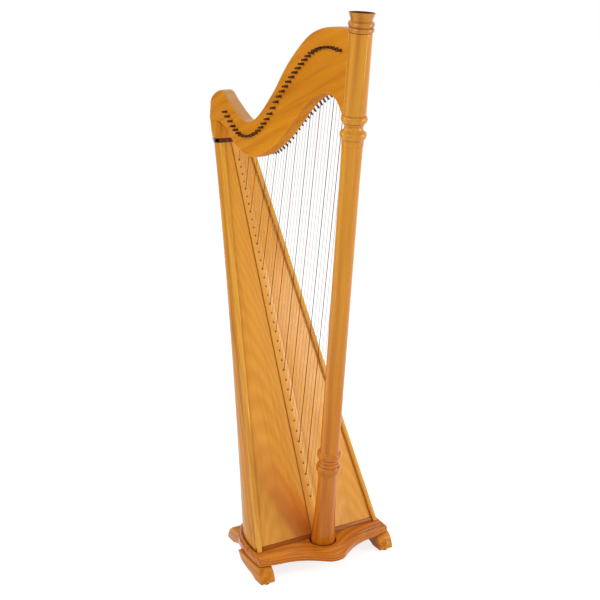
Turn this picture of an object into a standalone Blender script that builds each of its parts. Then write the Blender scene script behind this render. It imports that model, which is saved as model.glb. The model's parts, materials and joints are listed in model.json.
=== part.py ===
"""Lever harp: a round-backed soundbox on a moulded base, a turned pillar, a curved neck and its strings.

Axes: +X from the soundbox to the pillar, +Y to the side that carries strings and levers, +Z up.
While it is built, x = 0 and y = 0 lie under the centre of the pillar's foot.  At the end the
whole harp moves so that its origin lies at the bottom centre of its box.  All sizes are metres.
"""

import math

import bmesh
import bpy
import numpy as np
from mathutils import Matrix, Vector

# Gaps between pieces
GAP = 0.0003
HINGE_CLEARANCE = 0.0003
STRING_CLEARANCE = 0.0006

# Base, feet and glides
GLIDE_HEIGHT = 0.004
GLIDE_RADIUS = 0.0085
FOOT_HEIGHT = 0.0434
FOOT_WIDTH = 0.044
FOOT_HEEL = 0.012
FRONT_FOOT_TOE = 0.036
FRONT_FOOT_LENGTH = 0.140
FRONT_FOOT_PROUD = 0.0057
REAR_FOOT_TOE = -0.255
REAR_FOOT_LENGTH = 0.142
REAR_FOOT_INSET = 0.039
FASCIA_HEIGHT = 0.017
MOULDING_HEIGHT = 0.007
BASE_MARGIN = 0.014
TOP_TIER_INSET = 0.007
CORNER_SETBACK = 0.001
# Front edge of the base from its middle to its corner: x, and share of the half width
FASCIA_FRONT = ((0.088, 0.0), (0.083, 0.10), (0.062, 0.24), (0.042, 0.40), (0.029, 0.58),
                (0.023, 0.78), (0.012, 1.0))
TIER_FRONT = ((0.056, 0.0), (0.053, 0.12), (0.040, 0.26), (0.024, 0.40), (0.012, 0.56),
              (0.005, 0.78), (0.000, 1.0))

# Pillar, turned, leaning forward and a little to the right
PILLAR_RISE = 1.478
PILLAR_LEAN = 0.1656
PILLAR_SIDE_LEAN = -0.024
PILLAR_SOCKET_DEPTH = 0.009
PILLAR_FOOT_RADIUS = 0.0337
PILLAR_SHAFT_RADIUS = 0.0258
PILLAR_HEAD_RADIUS = 0.0293
PILLAR_BEAD_RADIUS = 0.0342
PILLAR_GROOVE_RADIUS = 0.0240
PILLAR_BEAD_HALF = 0.0095
PILLAR_SIDES = 20
SOCKET_CLEARANCE = 0.0040
LOWER_TURNING = 0.262
UPPER_TURNING_DROP = 0.276
CAP_HEIGHT = 0.047
CAP_RIM_RADIUS = 0.0327
CAP_THROAT_RADIUS = 0.0266

# Soundbox: its front plane leans back, its back is a rounded D that grows towards the base
SOUNDBOX_RISE = 1.059
BOARD_FOOT_X = -0.0256
BOARD_LEAN = math.radians(25.86)
COLLAR_TILT = math.radians(8.0)
SHELL_HALF_BOTTOM = 0.200
SHELL_HALF_TOP = 0.052
SHELL_DEPTH_BOTTOM = 0.215
SHELL_DEPTH_TOP = 0.078
SHELL_TAPER_POWER = 1.7
SHELL_ROUNDNESS = 2.5
SHELL_WALL = 0.006
SHELL_COLUMNS = 20
SHELL_ROWS = 9
SOUND_HOLE_LEVELS = (0.24, 0.44, 0.63, 0.80)
SOUND_HOLE_HEIGHT = 0.110
SOUND_HOLE_ASPECT = 0.62
SOUND_HOLE_SHRINK = 0.45
BRACE_LEVEL = 0.535
BRACE_DEPTH = 0.018
BRACE_THICKNESS = 0.010

# Soundboard with its trims, batten and centre strip
BOARD_THICKNESS = 0.004
BATTEN_HEIGHT = 0.010
BATTEN_DEPTH = 0.015
BATTEN_PROUD = 0.003
TRIM_WIDTH = 0.014
TRIM_THICKNESS = 0.006
TRIM_SETBACK = 0.0005
STRIP_THICKNESS = 0.003
STRIP_HALF_BOTTOM = 0.019
STRIP_HALF_TOP = 0.013
RIB_HALF = 0.009
RIB_DEPTH = 0.012
RIB_OVERRUN = 0.020

# Shoulder block and the metal collar round its foot
SHOULDER_RISE = 0.069
SHOULDER_HALF_TOP = 0.0486
SHOULDER_ROUNDNESS_TOP = 8.0
SHOULDER_REAR_SWELL = 0.004
COLLAR_HEIGHT = 0.012
COLLAR_THICKNESS = 0.0015

# Neck: places along it are shares of the way from shoulder to pillar, and heights over that line
NECK_TAIL_SETBACK = 0.0039
NECK_TAIL_RISE = 0.008
NECK_OFFSET = 0.0115
NECK_THICKNESS = 0.036
NECK_EDGE_RADIUS = 0.005
NECK_PILLAR_DROP = 0.110
NECK_END_OVERLAP = 0.006
NECK_TOP = ((-0.096, 0.112), (-0.087, 0.138), (-0.045, 0.148), (0.020, 0.140), (0.083, 0.097),
            (0.150, 0.052), (0.225, 0.010), (0.290, 0.000), (0.355, 0.008), (0.458, 0.042),
            (0.546, 0.083), (0.631, 0.110), (0.721, 0.126), (0.809, 0.121), (0.903, 0.101),
            (0.970, 0.082))
NECK_LOW = ((-0.097, 0.088), (-0.090, 0.075), (-0.066, 0.067), (-0.020, 0.057), (0.056, 0.022),
            (0.115, -0.027), (0.191, -0.071), (0.265, -0.100), (0.341, -0.112), (0.430, -0.112),
            (0.520, -0.099), (0.618, -0.073), (0.710, -0.047), (0.790, -0.042), (0.855, -0.051),
            (0.905, -0.073), (0.935, -0.100), (0.958, -0.130))

# Strings, counted from the longest
STRING_COUNT = 38
STRING_RADIUS_BASS = 0.00070
STRING_RADIUS_TREBLE = 0.00040
FIRST_EYELET_RISE = 0.103
LAST_EYELET_DROP = 0.052
EYELET_CROWDING = 0.206
PIN_ROW = ((0.980, 0.020), (0.944, 0.035), (0.890, 0.055), (0.820, 0.070), (0.750, 0.072),
           (0.650, 0.053), (0.529, 0.017), (0.430, -0.025), (0.355, -0.043), (0.290, -0.044),
           (0.213, -0.028), (0.147, 0.007), (0.106, 0.038), (0.065, 0.069), (0.040, 0.088))
FIRST_PIN = 0.944
LAST_PIN = 0.065
PIN_SPREAD = 0.033
PIN_RADIUS = 0.0026
PIN_NEAR_REACH = 0.0155
PIN_FAR_REACH = 0.0155
BRIDGE_RADIUS = 0.0012
BRIDGE_REACH = 0.0135
BRIDGE_DROP_BASS = 0.040
BRIDGE_DROP_TREBLE = 0.0235

# Sharpening levers: a hub on a pin between two ears, and a handle that slants out and down
SEMITONE_SHARE = 1 - 2 ** (-1 / 12)
LEVER_PIVOT_REACH = 0.008
LEVER_HALF_WIDTH = 0.0032
LEVER_HUB_RADIUS = 0.0052
LEVER_PIN_RADIUS = 0.0013
HANDLE_REACH = 0.008
HANDLE_LENGTH = 0.027
HANDLE_THICKNESS = 0.0036
HANDLE_ANGLE = math.radians(38)
EAR_THICKNESS = 0.0012
EAR_HALF_LENGTH = 0.0038
BRACKET_FOOT_THICKNESS = 0.0020
BRACKET_FOOT_UP = 0.0046
BRACKET_FOOT_DOWN = 0.0080

# Places that follow from the sizes above
FOOT_BOTTOM = GLIDE_HEIGHT + GAP
FOOT_TOP = FOOT_BOTTOM + FOOT_HEIGHT
BASE_BOTTOM = FOOT_TOP + GAP
BASE_TOP = BASE_BOTTOM + FASCIA_HEIGHT + MOULDING_HEIGHT
BASE_HALF = SHELL_HALF_BOTTOM + BASE_MARGIN
BASE_FRONT_HALF = BASE_HALF - CORNER_SETBACK
COLLAR_FRONT_Z = BASE_TOP + SOUNDBOX_RISE
BOARD_UP = Vector((-math.sin(BOARD_LEAN), 0, math.cos(BOARD_LEAN)))
BOARD_OUT = Vector((math.cos(BOARD_LEAN), 0, math.sin(BOARD_LEAN)))
BOARD_FOOT = Vector((BOARD_FOOT_X, 0, BASE_TOP))
STRIP_FACE = GAP + STRIP_THICKNESS
SHELL_FACE = -(BOARD_THICKNESS + GAP)
PILLAR_TOP_Z = BASE_TOP + PILLAR_RISE
PILLAR_DIRECTION = Vector((PILLAR_LEAN, PILLAR_SIDE_LEAN, PILLAR_RISE)).normalized()
PILLAR_LENGTH = Vector((PILLAR_LEAN, PILLAR_SIDE_LEAN, PILLAR_RISE)).length
NECK_FAR_Y = -NECK_OFFSET
NECK_NEAR_Y = -NECK_OFFSET - NECK_THICKNESS

WOOD_NECK = (0.61, 0.25, 0.03)
WOOD_BASE = (0.50, 0.14, 0.02)
WOOD_BOARD = (0.66, 0.30, 0.06)
WOOD_TRIM = (0.74, 0.40, 0.09)
WOOD_SHELL = (0.60, 0.26, 0.04)
DARK_METAL = (0.06, 0.03, 0.02)
BLACK = (0.01, 0.01, 0.01)
DARK_RED = (0.12, 0.01, 0.01)
GREY = (0.20, 0.20, 0.20)
STRING_PALE = (0.75, 0.74, 0.70)


def material(name, colour, roughness=0.4, metallic=0.0):
    made = bpy.data.materials.new(name)
    made.use_nodes = True
    shader = made.node_tree.nodes["Principled BSDF"]
    shader.inputs["Base Color"].default_value = (*colour, 1.0)
    shader.inputs["Roughness"].default_value = roughness
    shader.inputs["Metallic"].default_value = metallic
    return made


def new_object(name, bm):
    """An object from a bmesh, with its faces pointing out."""
    bmesh.ops.recalc_face_normals(bm, faces=bm.faces)
    mesh = bpy.data.meshes.new(name)
    bm.to_mesh(mesh)
    bm.free()
    made = bpy.data.objects.new(name, mesh)
    bpy.context.collection.objects.link(made)
    return made


def finish(piece, colour, roughness=0.4, metallic=0.0, smooth_angle=None):
    piece.data.materials.clear()
    piece.data.materials.append(material(piece.name, colour, roughness, metallic))
    if smooth_angle is not None:
        piece.data.shade_smooth()
        piece.data.set_sharp_from_angle(angle=math.radians(smooth_angle))
    return piece


def combine(piece, other, operation):
    """Apply a Boolean between two objects, and remove the second one."""
    step = piece.modifiers.new("combine", "BOOLEAN")
    step.operation = operation
    step.solver = "EXACT"
    step.object = other
    bpy.context.view_layer.update()
    seen = piece.evaluated_get(bpy.context.evaluated_depsgraph_get())
    result = bpy.data.meshes.new_from_object(seen)
    piece.modifiers.clear()
    piece.data = result
    bpy.data.objects.remove(other)
    return piece


def loft(rings, closed=True):
    """A skin through rings of equally many points, capped at both ends."""
    bm = bmesh.new()
    rows = [[bm.verts.new(point) for point in ring] for ring in rings]
    count = len(rows[0])
    spans = count if closed else count - 1
    for lower, upper in zip(rows, rows[1:]):
        for i in range(spans):
            j = (i + 1) % count
            bm.faces.new((lower[i], lower[j], upper[j], upper[i]))
    bm.faces.new(rows[0])
    bm.faces.new(rows[-1])
    return bm


def plate(outline, low, high, axis="y"):
    """An outline in x and z drawn between two values of y, or one in x and y drawn between two of z."""
    def place(point, depth):
        if axis == "y":
            return Vector((point[0], depth, point[1]))
        return Vector((point[0], point[1], depth))
    return loft([[place(point, low) for point in outline], [place(point, high) for point in outline]])


def box(low, high):
    outline = ((low[0], low[1]), (high[0], low[1]), (high[0], high[1]), (low[0], high[1]))
    return plate(outline, low[2], high[2], axis="z")


def cylinder(start, end, radius, sides):
    """A straight round bar between two points."""
    line = end - start
    bm = bmesh.new()
    turn = line.to_track_quat("Z", "Y").to_matrix().to_4x4()
    place = Matrix.Translation((start + end) / 2) @ turn
    bmesh.ops.create_cone(bm, cap_ends=True, cap_tris=False, segments=sides, radius1=radius,
                          radius2=radius, depth=line.length, matrix=place)
    return bm


def join(parts):
    """Several bmeshes that don't touch, in one."""
    whole = bmesh.new()
    for part in parts:
        mesh = bpy.data.meshes.new("part")
        part.to_mesh(mesh)
        part.free()
        whole.from_mesh(mesh)
        bpy.data.meshes.remove(mesh)
    return whole


def turned(profile, sides):
    """A solid of revolution about +Z from (height, radius) pairs, low to high."""
    points = [(profile[0][0], 0.0), *profile, (profile[-1][0], 0.0)]
    bm = bmesh.new()
    chain = [bm.verts.new((radius, 0, height)) for height, radius in points]
    edges = [bm.edges.new(pair) for pair in zip(chain, chain[1:])]
    bmesh.ops.spin(bm, geom=chain + edges, cent=(0, 0, 0), axis=(0, 0, 1), dvec=(0, 0, 0),
                   angle=2 * math.pi, steps=sides, use_merge=True, use_duplicate=False)
    bmesh.ops.remove_doubles(bm, verts=bm.verts, dist=0.00001)
    return bm


def smooth_curve(points, steps):
    """A Catmull-Rom curve through the points, with so many steps between each two."""
    controls = [Vector(point) for point in points]
    controls = [2 * controls[0] - controls[1], *controls, 2 * controls[-1] - controls[-2]]
    made = []
    for i in range(1, len(controls) - 2):
        before, start, end, after = controls[i - 1:i + 3]
        for step in range(steps):
            t = step / steps
            made.append(0.5 * (2 * start + (end - before) * t
                               + (2 * before - 5 * start + 4 * end - after) * t ** 2
                               + (3 * start - before - 3 * end + after) * t ** 3))
    made.append(controls[-2])
    return made


def bead(height, half, inner, outer, steps=5):
    """A rounded ring of a turned profile, as (height, radius) pairs."""
    angles = [math.pi * i / steps for i in range(steps + 1)]
    return [(height - half * math.cos(a), inner + (outer - inner) * math.sin(a)) for a in angles]


def mix(first, second, share):
    return first + (second - first) * share


# Soundbox surfaces

def on_board(rise, side, out):
    """A point given by its height up the board's slope, its place across and its distance in front."""
    point = BOARD_FOOT + BOARD_UP * rise + BOARD_OUT * out
    point.y = side
    return point


def slope_at(z, out):
    """How far up the slope a point at this height lies, for its distance in front of the board."""
    return (z - BASE_TOP - out * math.sin(BOARD_LEAN)) / math.cos(BOARD_LEAN)


def board_x(z, out=0.0):
    return BOARD_FOOT_X + out / math.cos(BOARD_LEAN) - (z - BASE_TOP) * math.tan(BOARD_LEAN)


COLLAR_FRONT_X = board_x(COLLAR_FRONT_Z)


def collar_z(x):
    """Height of the tilted joint between soundbox and shoulder."""
    return COLLAR_FRONT_Z + (x - COLLAR_FRONT_X) * math.tan(COLLAR_TILT)


def slope_at_collar(out):
    """How far up the slope the tilted joint lies, for a distance in front of the board."""
    rise = 0.0
    for _ in range(6):
        point = on_board(rise, 0, out)
        rise += collar_z(point.x) - point.z
    return rise


def shell_half(z):
    return mix(SHELL_HALF_BOTTOM, SHELL_HALF_TOP, (z - BASE_TOP) / SOUNDBOX_RISE)


def shell_depth(z):
    left = max(0.0, 1 - (z - BASE_TOP) / SOUNDBOX_RISE)
    return mix(SHELL_DEPTH_TOP, SHELL_DEPTH_BOTTOM, left ** SHELL_TAPER_POWER)


def rounded(turn, roundness=SHELL_ROUNDNESS):
    """Shares of the half width and of the depth on the D's outline, for a turn from -90 to 90 degrees."""
    power = 2 / roundness
    across = math.copysign(abs(math.sin(turn)) ** power, turn)
    return across, abs(math.cos(turn)) ** power


def turns(columns):
    return [math.pi * (i / columns - 0.5) for i in range(columns + 1)]


def shell_point(level, turn, inset):
    """A point of the shell: level 0 on the base, 1 at the collar, and inset from its outer face."""
    foot = BASE_TOP + GAP
    z = mix(foot, COLLAR_FRONT_Z, level)
    across, back = rounded(turn)
    for _ in range(4):
        x = board_x(z, SHELL_FACE) - (shell_depth(z) + SHELL_FACE - inset) * back
        z = mix(foot, collar_z(x) - GAP, level)
    return Vector((x, (shell_half(z) - inset) * across, z))


def shell_ring(level, inset_outer, inset_inner):
    """A closed ring round the wall: outside from left to right, then inside back again."""
    outside = [shell_point(level, turn, inset_outer) for turn in turns(SHELL_COLUMNS)]
    inside = [shell_point(level, turn, inset_inner) for turn in reversed(turns(SHELL_COLUMNS))]
    return outside + inside


def soundbox_shell():
    """The rounded back, open at the front, with oval sound holes in its rear."""
    levels = [row / SHELL_ROWS for row in range(SHELL_ROWS + 1)]
    shell = new_object("soundbox_shell", loft([shell_ring(level, 0, SHELL_WALL) for level in levels]))
    holes = []
    for i, level in enumerate(SOUND_HOLE_LEVELS):
        height = SOUND_HOLE_HEIGHT * (1 - SOUND_HOLE_SHRINK * i / (len(SOUND_HOLE_LEVELS) - 1))
        rear = shell_point(level, 0, 0)
        reach = SHELL_WALL * 6
        hole = cylinder(rear - Vector((reach, 0, 0)), rear + Vector((reach, 0, 0)), height / 2, 20)
        bmesh.ops.scale(hole, vec=(1, SOUND_HOLE_ASPECT, 1), verts=hole.verts)
        holes.append(hole)
    combine(shell, new_object("sound_holes", join(holes)), "DIFFERENCE")
    return finish(shell, WOOD_SHELL, smooth_angle=40)


def shell_brace():
    """A bent rib glued inside the shell between two sound holes."""
    half = BRACE_THICKNESS / SOUNDBOX_RISE / 2
    inner = SHELL_WALL + GAP + BRACE_DEPTH
    rings = [shell_ring(BRACE_LEVEL + side * half, SHELL_WALL + GAP, inner) for side in (-1, 1)]
    return finish(new_object("shell_brace", loft(rings)), WOOD_TRIM)


def edge_bar(name, outer, inner, low, high, z_bottom):
    """A bar on the board's face along one edge, from z_bottom up to the collar."""
    rings = []
    for top in (False, True):
        ring = []
        for inset, out in ((outer, low), (inner, low), (inner, high), (outer, high)):
            rise = slope_at_collar(out) - GAP if top else slope_at(z_bottom, out)
            z = on_board(rise, 0, out).z
            ring.append(on_board(rise, shell_half(z) - inset, out))
        rings.append(ring)
    return new_object(name, loft(rings))


def edge_trim(name, side):
    """The raised strip along one edge of the soundboard, down to the base."""
    high = GAP + TRIM_THICKNESS
    trim = edge_bar(name, TRIM_SETBACK, TRIM_SETBACK + TRIM_WIDTH, GAP, high, BASE_TOP + GAP)
    bm = bmesh.new()
    bm.from_mesh(trim.data)
    front = [edge for edge in bm.edges if sum(is_front(v.co, high) for v in edge.verts) == 2]
    bmesh.ops.bevel(bm, geom=front, offset=TRIM_THICKNESS * 0.35, affect="EDGES", segments=2,
                    profile=0.5, material=-1)
    bmesh.ops.scale(bm, vec=(1, side, 1), verts=bm.verts)
    bmesh.ops.recalc_face_normals(bm, faces=bm.faces)
    bm.to_mesh(trim.data)
    bm.free()
    return finish(trim, WOOD_TRIM)


def is_front(point, out):
    return abs((point - BOARD_FOOT).dot(BOARD_OUT) - out) < 0.00001


def string_holes(low, high):
    """Cutters square to the board at every eyelet, between two distances in front of it."""
    holes = []
    for number in range(1, STRING_COUNT + 1):
        foot = eyelet(number)
        radius = string_radius(number) + STRING_CLEARANCE
        holes.append(cylinder(foot + BOARD_OUT * low, foot + BOARD_OUT * high, radius, 6))
    return new_object("string_holes", join(holes))


def soundboard():
    """The flat front of the soundbox, with a hole for each string and a notch for the pillar."""
    bottom = BASE_TOP + BATTEN_HEIGHT
    rings = []
    for out in (-BOARD_THICKNESS, 0.0):
        low = slope_at(bottom, out)
        high = slope_at_collar(out) - GAP
        corners = ((low, -1), (low, 1), (high, 1), (high, -1))
        rings.append([on_board(rise, side * shell_half(on_board(rise, 0, out).z), out)
                      for rise, side in corners])
    board = new_object("soundboard", loft(rings))
    combine(board, string_holes(-2 * BOARD_THICKNESS, BOARD_THICKNESS), "DIFFERENCE")
    combine(board, pillar_cutter(), "DIFFERENCE")
    return finish(board, WOOD_BOARD)


def center_strip():
    """The tapered strip that the strings pass through."""
    bottom = BASE_TOP + BATTEN_HEIGHT
    low = slope_at(bottom, 0)
    high = slope_at_collar(STRIP_FACE) - GAP
    corners = ((low, -STRIP_HALF_BOTTOM), (low, STRIP_HALF_BOTTOM), (high, STRIP_HALF_TOP),
               (high, -STRIP_HALF_TOP))
    rings = [[on_board(rise, side, out) for rise, side in corners] for out in (GAP, STRIP_FACE)]
    strip = new_object("center_strip", loft(rings))
    combine(strip, string_holes(-STRIP_THICKNESS, 2 * STRIP_THICKNESS), "DIFFERENCE")
    combine(strip, pillar_cutter(), "DIFFERENCE")
    return finish(strip, WOOD_TRIM)


def base_batten():
    """The low bar on the base under the soundboard, notched for the pillar's foot."""
    bottom = BASE_TOP + GAP
    top = BASE_TOP + BATTEN_HEIGHT - GAP
    outline = ((board_x(bottom, BATTEN_PROUD), bottom), (board_x(top, BATTEN_PROUD), top),
               (board_x(top, -BATTEN_DEPTH), top), (board_x(bottom, -BATTEN_DEPTH), bottom))
    half = shell_half(top) - TRIM_SETBACK - TRIM_WIDTH - GAP
    batten = new_object("base_batten", plate(outline, -half, half))
    combine(batten, pillar_cutter(), "DIFFERENCE")
    return finish(batten, WOOD_BASE)


# Base and feet

def base_outline(front, half, corner_half, depth):
    """Half of the outline mirrored: the waved front edge, the corner and the rounded back."""
    edge = smooth_curve([(x, share * corner_half) for x, share in front], 3)
    back = []
    for turn in turns(28)[:14]:
        across, behind = rounded(-turn)
        back.append(Vector((BOARD_FOOT_X - depth * behind, half * across)))
    rear = Vector((BOARD_FOOT_X - depth, 0))
    left = edge + back
    right = [Vector((point.x, -point.y)) for point in reversed(left[1:])]
    return left + [rear] + right


def base_board():
    """The moulded base, with a socket for the pillar's foot."""
    depth = SHELL_DEPTH_BOTTOM + BASE_MARGIN
    fascia = base_outline(FASCIA_FRONT, BASE_HALF, BASE_FRONT_HALF, depth)
    inset = TOP_TIER_INSET
    tier = base_outline(TIER_FRONT, BASE_HALF - inset, BASE_FRONT_HALF - inset, depth - inset)
    shoulder = BASE_BOTTOM + FASCIA_HEIGHT
    step = MOULDING_HEIGHT / 4
    levels = ((0.0, BASE_BOTTOM), (0.0, shoulder), (0.15, shoulder + step),
              (0.50, BASE_TOP - 1.6 * step), (1.0, BASE_TOP - step), (1.0, BASE_TOP))
    rings = []
    for share, z in levels:
        rings.append([mix(a, b, share).to_3d() + Vector((0, 0, z)) for a, b in zip(fascia, tier)])
    base = new_object("base_board", loft(rings))
    radius = PILLAR_FOOT_RADIUS + SOCKET_CLEARANCE
    floor = Vector((0, 0, BASE_TOP - PILLAR_SOCKET_DEPTH))
    socket = cylinder(floor, floor + Vector((0, 0, 2 * PILLAR_SOCKET_DEPTH)), radius, PILLAR_SIDES)
    combine(base, new_object("socket", socket), "DIFFERENCE")
    return finish(base, WOOD_BASE)


def foot_outline(toe, length, way):
    """Side view of a bracket foot with its toe at x = toe, reaching back against the way it points."""
    def place(back, height):
        return (toe - way * back, FOOT_BOTTOM + height)
    sweep = smooth_curve(((0.000, FOOT_HEIGHT * 0.04), (0.004, FOOT_HEIGHT * 0.37),
                          (0.012, FOOT_HEIGHT * 0.70), (0.027, FOOT_HEIGHT)), 3)
    sole = smooth_curve(((length, FOOT_HEIGHT), (length * 0.86, FOOT_HEIGHT * 0.50),
                         (length * 0.62, FOOT_HEIGHT * 0.27), (length * 0.42, FOOT_HEIGHT * 0.18),
                         (length * 0.27, 0.0)), 3)
    return [place(*point) for point in [(FOOT_HEEL * 0.22, 0.0), *sweep, *sole]]


def foot_places():
    """Name, toe, length, way it points and side of each foot's outer face."""
    front = BASE_FRONT_HALF + FRONT_FOOT_PROUD
    rear = BASE_HALF - REAR_FOOT_INSET
    return (("front_right", FRONT_FOOT_TOE, FRONT_FOOT_LENGTH, 1, -front),
            ("front_left", FRONT_FOOT_TOE, FRONT_FOOT_LENGTH, 1, front),
            ("rear_right", REAR_FOOT_TOE, REAR_FOOT_LENGTH, -1, -rear),
            ("rear_left", REAR_FOOT_TOE, REAR_FOOT_LENGTH, -1, rear))


def feet():
    """Four bracket feet, each with a black glide under its toe."""
    for name, toe, length, way, side in foot_places():
        inner = side - math.copysign(FOOT_WIDTH, side)
        bm = plate(foot_outline(toe, length, way), min(side, inner), max(side, inner))
        finish(new_object("foot_" + name, bm), WOOD_BASE)
        middle = Vector((toe - way * FOOT_HEEL, (side + inner) / 2, 0))
        glide = cylinder(middle, middle + Vector((0, 0, GLIDE_HEIGHT)), GLIDE_RADIUS, 16)
        finish(new_object("glide_" + name, glide), BLACK, roughness=0.6)


# Pillar

def pillar_axis(z):
    return PILLAR_DIRECTION * ((z - BASE_TOP) / PILLAR_DIRECTION.z) + Vector((0, 0, BASE_TOP))


def pillar_profile():
    """Turned outline of the pillar: distance along its axis from the base's top, and radius."""
    low = LOWER_TURNING
    high = PILLAR_LENGTH - UPPER_TURNING_DROP
    half = PILLAR_BEAD_HALF
    shaft, head, groove = PILLAR_SHAFT_RADIUS, PILLAR_HEAD_RADIUS, PILLAR_GROOVE_RADIUS
    outer = PILLAR_BEAD_RADIUS
    spread = 2.25 * half
    cove = half * 0.55
    profile = [(-2 * PILLAR_SOCKET_DEPTH, PILLAR_FOOT_RADIUS), (0.010, PILLAR_FOOT_RADIUS)]
    profile += [(low / 2, mix(PILLAR_FOOT_RADIUS, shaft, 0.65)), (low - spread - 2.1 * half, shaft)]
    profile += [(low - spread - 1.9 * half, shaft + cove / 2), (low - spread - half, shaft + cove / 2)]
    profile += bead(low - spread, half, shaft + cove / 4, outer)
    profile += [(low - cove, groove + cove / 2), (low + cove, groove + cove / 2)]
    profile += bead(low + spread, half, shaft + cove / 4, outer)
    profile += [(low + spread + 1.5 * half, shaft), (low + 0.35, shaft), (high - 0.14, shaft)]
    profile += [(high - spread - 3.2 * half, mix(shaft, head, 0.3))]
    profile += [(high - spread - 2.6 * half, head - cove / 4), (high - spread - half, head - cove / 4)]
    profile += bead(high - spread, half, shaft + cove / 4, outer)
    profile += [(high - 0.7 * spread + cove, mix(groove, shaft, 1.4)), (high - cove, groove),
                (high + cove / 2, groove), (high + cove, shaft)]
    profile += bead(high + spread * 0.9, half, shaft + cove / 4, outer)
    profile += [(high + spread + 1.2 * half, head), (PILLAR_LENGTH - CAP_HEIGHT, head)]
    return profile


def cap_profile():
    """Turned outline of the cap: two beads under a flared, flat-topped rim."""
    foot = PILLAR_LENGTH - CAP_HEIGHT + GAP
    inner = PILLAR_HEAD_RADIUS - 0.0008
    outer = CAP_RIM_RADIUS
    profile = bead(foot + 0.0068, 0.0062, inner, outer)
    profile += bead(foot + 0.0202, 0.0063, inner, outer + 0.0005)
    throat = foot + 0.0275
    flare = PILLAR_LENGTH - throat
    for i in range(6):
        angle = math.pi / 2 * i / 5
        profile.append((throat + flare * math.sin(angle) * 0.94,
                        mix(outer, CAP_THROAT_RADIUS, math.cos(angle))))
    profile.append((PILLAR_LENGTH, outer))
    return profile


def stand_on_pillar_axis(bm):
    """Tilt a piece turned about +Z onto the pillar's axis."""
    turn = Vector((0, 0, 1)).rotation_difference(PILLAR_DIRECTION).to_matrix().to_4x4()
    bmesh.ops.transform(bm, matrix=Matrix.Translation((0, 0, BASE_TOP)) @ turn, verts=bm.verts)
    return bm


def pillar_cutter():
    """Space that the pillar and its cap need, with the gap around them."""
    whole = pillar_profile() + cap_profile()[1:]
    grown = [(height, radius + GAP / math.cos(math.pi / PILLAR_SIDES)) for height, radius in whole]
    grown[-1] = (PILLAR_LENGTH + GAP, grown[-1][1])
    return new_object("pillar_space", stand_on_pillar_axis(turned(grown, PILLAR_SIDES)))


def pillar():
    """The turned pillar, its foot cut level in the base's socket."""
    bm = stand_on_pillar_axis(turned(pillar_profile(), PILLAR_SIDES))
    level = BASE_TOP - PILLAR_SOCKET_DEPTH + GAP
    geometry = bm.verts[:] + bm.edges[:] + bm.faces[:]
    cut = bmesh.ops.bisect_plane(bm, geom=geometry, plane_co=(0, 0, level), plane_no=(0, 0, -1),
                                 clear_outer=True)
    rim = [item for item in cut["geom_cut"] if isinstance(item, bmesh.types.BMEdge)]
    bmesh.ops.contextual_create(bm, geom=rim)
    return finish(new_object("pillar", bm), WOOD_NECK, smooth_angle=35)


def pillar_cap():
    bm = stand_on_pillar_axis(turned(cap_profile(), PILLAR_SIDES))
    return finish(new_object("pillar_cap", bm), WOOD_NECK, smooth_angle=35)


# Shoulder and collar

def shoulder_point(level, turn, grow):
    """A point of the shoulder block: level 0 on the tilted joint, 1 at its flat top."""
    top = COLLAR_FRONT_Z + SHOULDER_RISE
    across, back = rounded(turn, mix(SHELL_ROUNDNESS, SHOULDER_ROUNDNESS_TOP, level))
    half = mix(SHELL_HALF_TOP, SHOULDER_HALF_TOP, level) + grow
    depth = SHELL_DEPTH_TOP + SHOULDER_REAR_SWELL * level
    x = COLLAR_FRONT_X + grow - (depth + 2 * grow) * back
    return Vector((x, half * across, mix(collar_z(x), top, level)))


def shoulder_block(neck_space):
    """The block between the soundbox and the neck's tail, rebated where the neck rests on it."""
    levels = (0.0, 0.3, 0.6, 0.9, 1.0)
    rings = []
    for level in levels:
        grow = -0.004 if level == 1.0 else 0.0
        rings.append([shoulder_point(level, turn, grow) for turn in turns(SHELL_COLUMNS)])
    block = new_object("shoulder_block", loft(rings))
    combine(block, neck_space, "DIFFERENCE")
    return finish(block, WOOD_NECK, smooth_angle=40)


def collar_band():
    """The metal band round the foot of the shoulder block."""
    levels = (0.0, COLLAR_HEIGHT / SHOULDER_RISE)
    inner = GAP
    outer = GAP + COLLAR_THICKNESS
    rings = []
    for grow in (inner, outer):
        for level in levels:
            ring = [shoulder_point(level, turn, grow) for turn in turns(SHELL_COLUMNS)]
            rings.append([point + Vector((0, 0, GAP * (level == 0))) for point in ring])
    bm = bmesh.new()
    rows = [[bm.verts.new(point) for point in ring] for ring in (rings[0], rings[1], rings[3], rings[2])]
    count = len(rows[0])
    for first, second in zip(rows, rows[1:] + rows[:1]):
        for i in range(count):
            j = (i + 1) % count
            bm.faces.new((first[i], first[j], second[j], second[i]))
    return finish(new_object("collar_band", bm), DARK_METAL, roughness=0.25, metallic=0.9)


# Neck, pins and strings

def neck_place(share, height):
    """A place along the neck in x and z."""
    end = pillar_axis(PILLAR_TOP_Z - NECK_PILLAR_DROP)
    x = mix(COLLAR_FRONT_X - NECK_TAIL_SETBACK, end.x, share)
    return Vector((x, mix(COLLAR_FRONT_Z + NECK_TAIL_RISE, end.z, share) + height))


def neck_outline():
    """The neck's side view: its top edge to the pillar, down inside it, and its lower edge back."""
    top = [neck_place(*point) for point in smooth_curve(NECK_TOP, 2)]
    low = [neck_place(*point) for point in smooth_curve(NECK_LOW, 2)]
    inside = NECK_END_OVERLAP
    upper_end = Vector((pillar_axis(top[-1].y).x + inside, top[-1].y))
    lower_end = Vector((pillar_axis(low[-1].y).x + inside, low[-1].y - inside))
    return top + [upper_end, lower_end] + low[::-1]


def grown_outline(outline, distance):
    """The outline moved outwards by a distance."""
    moved = []
    count = len(outline)
    for i, point in enumerate(outline):
        along = (outline[(i + 1) % count] - outline[i - 1]).normalized()
        moved.append(point + Vector((-along.y, along.x)) * distance)
    return moved


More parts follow.
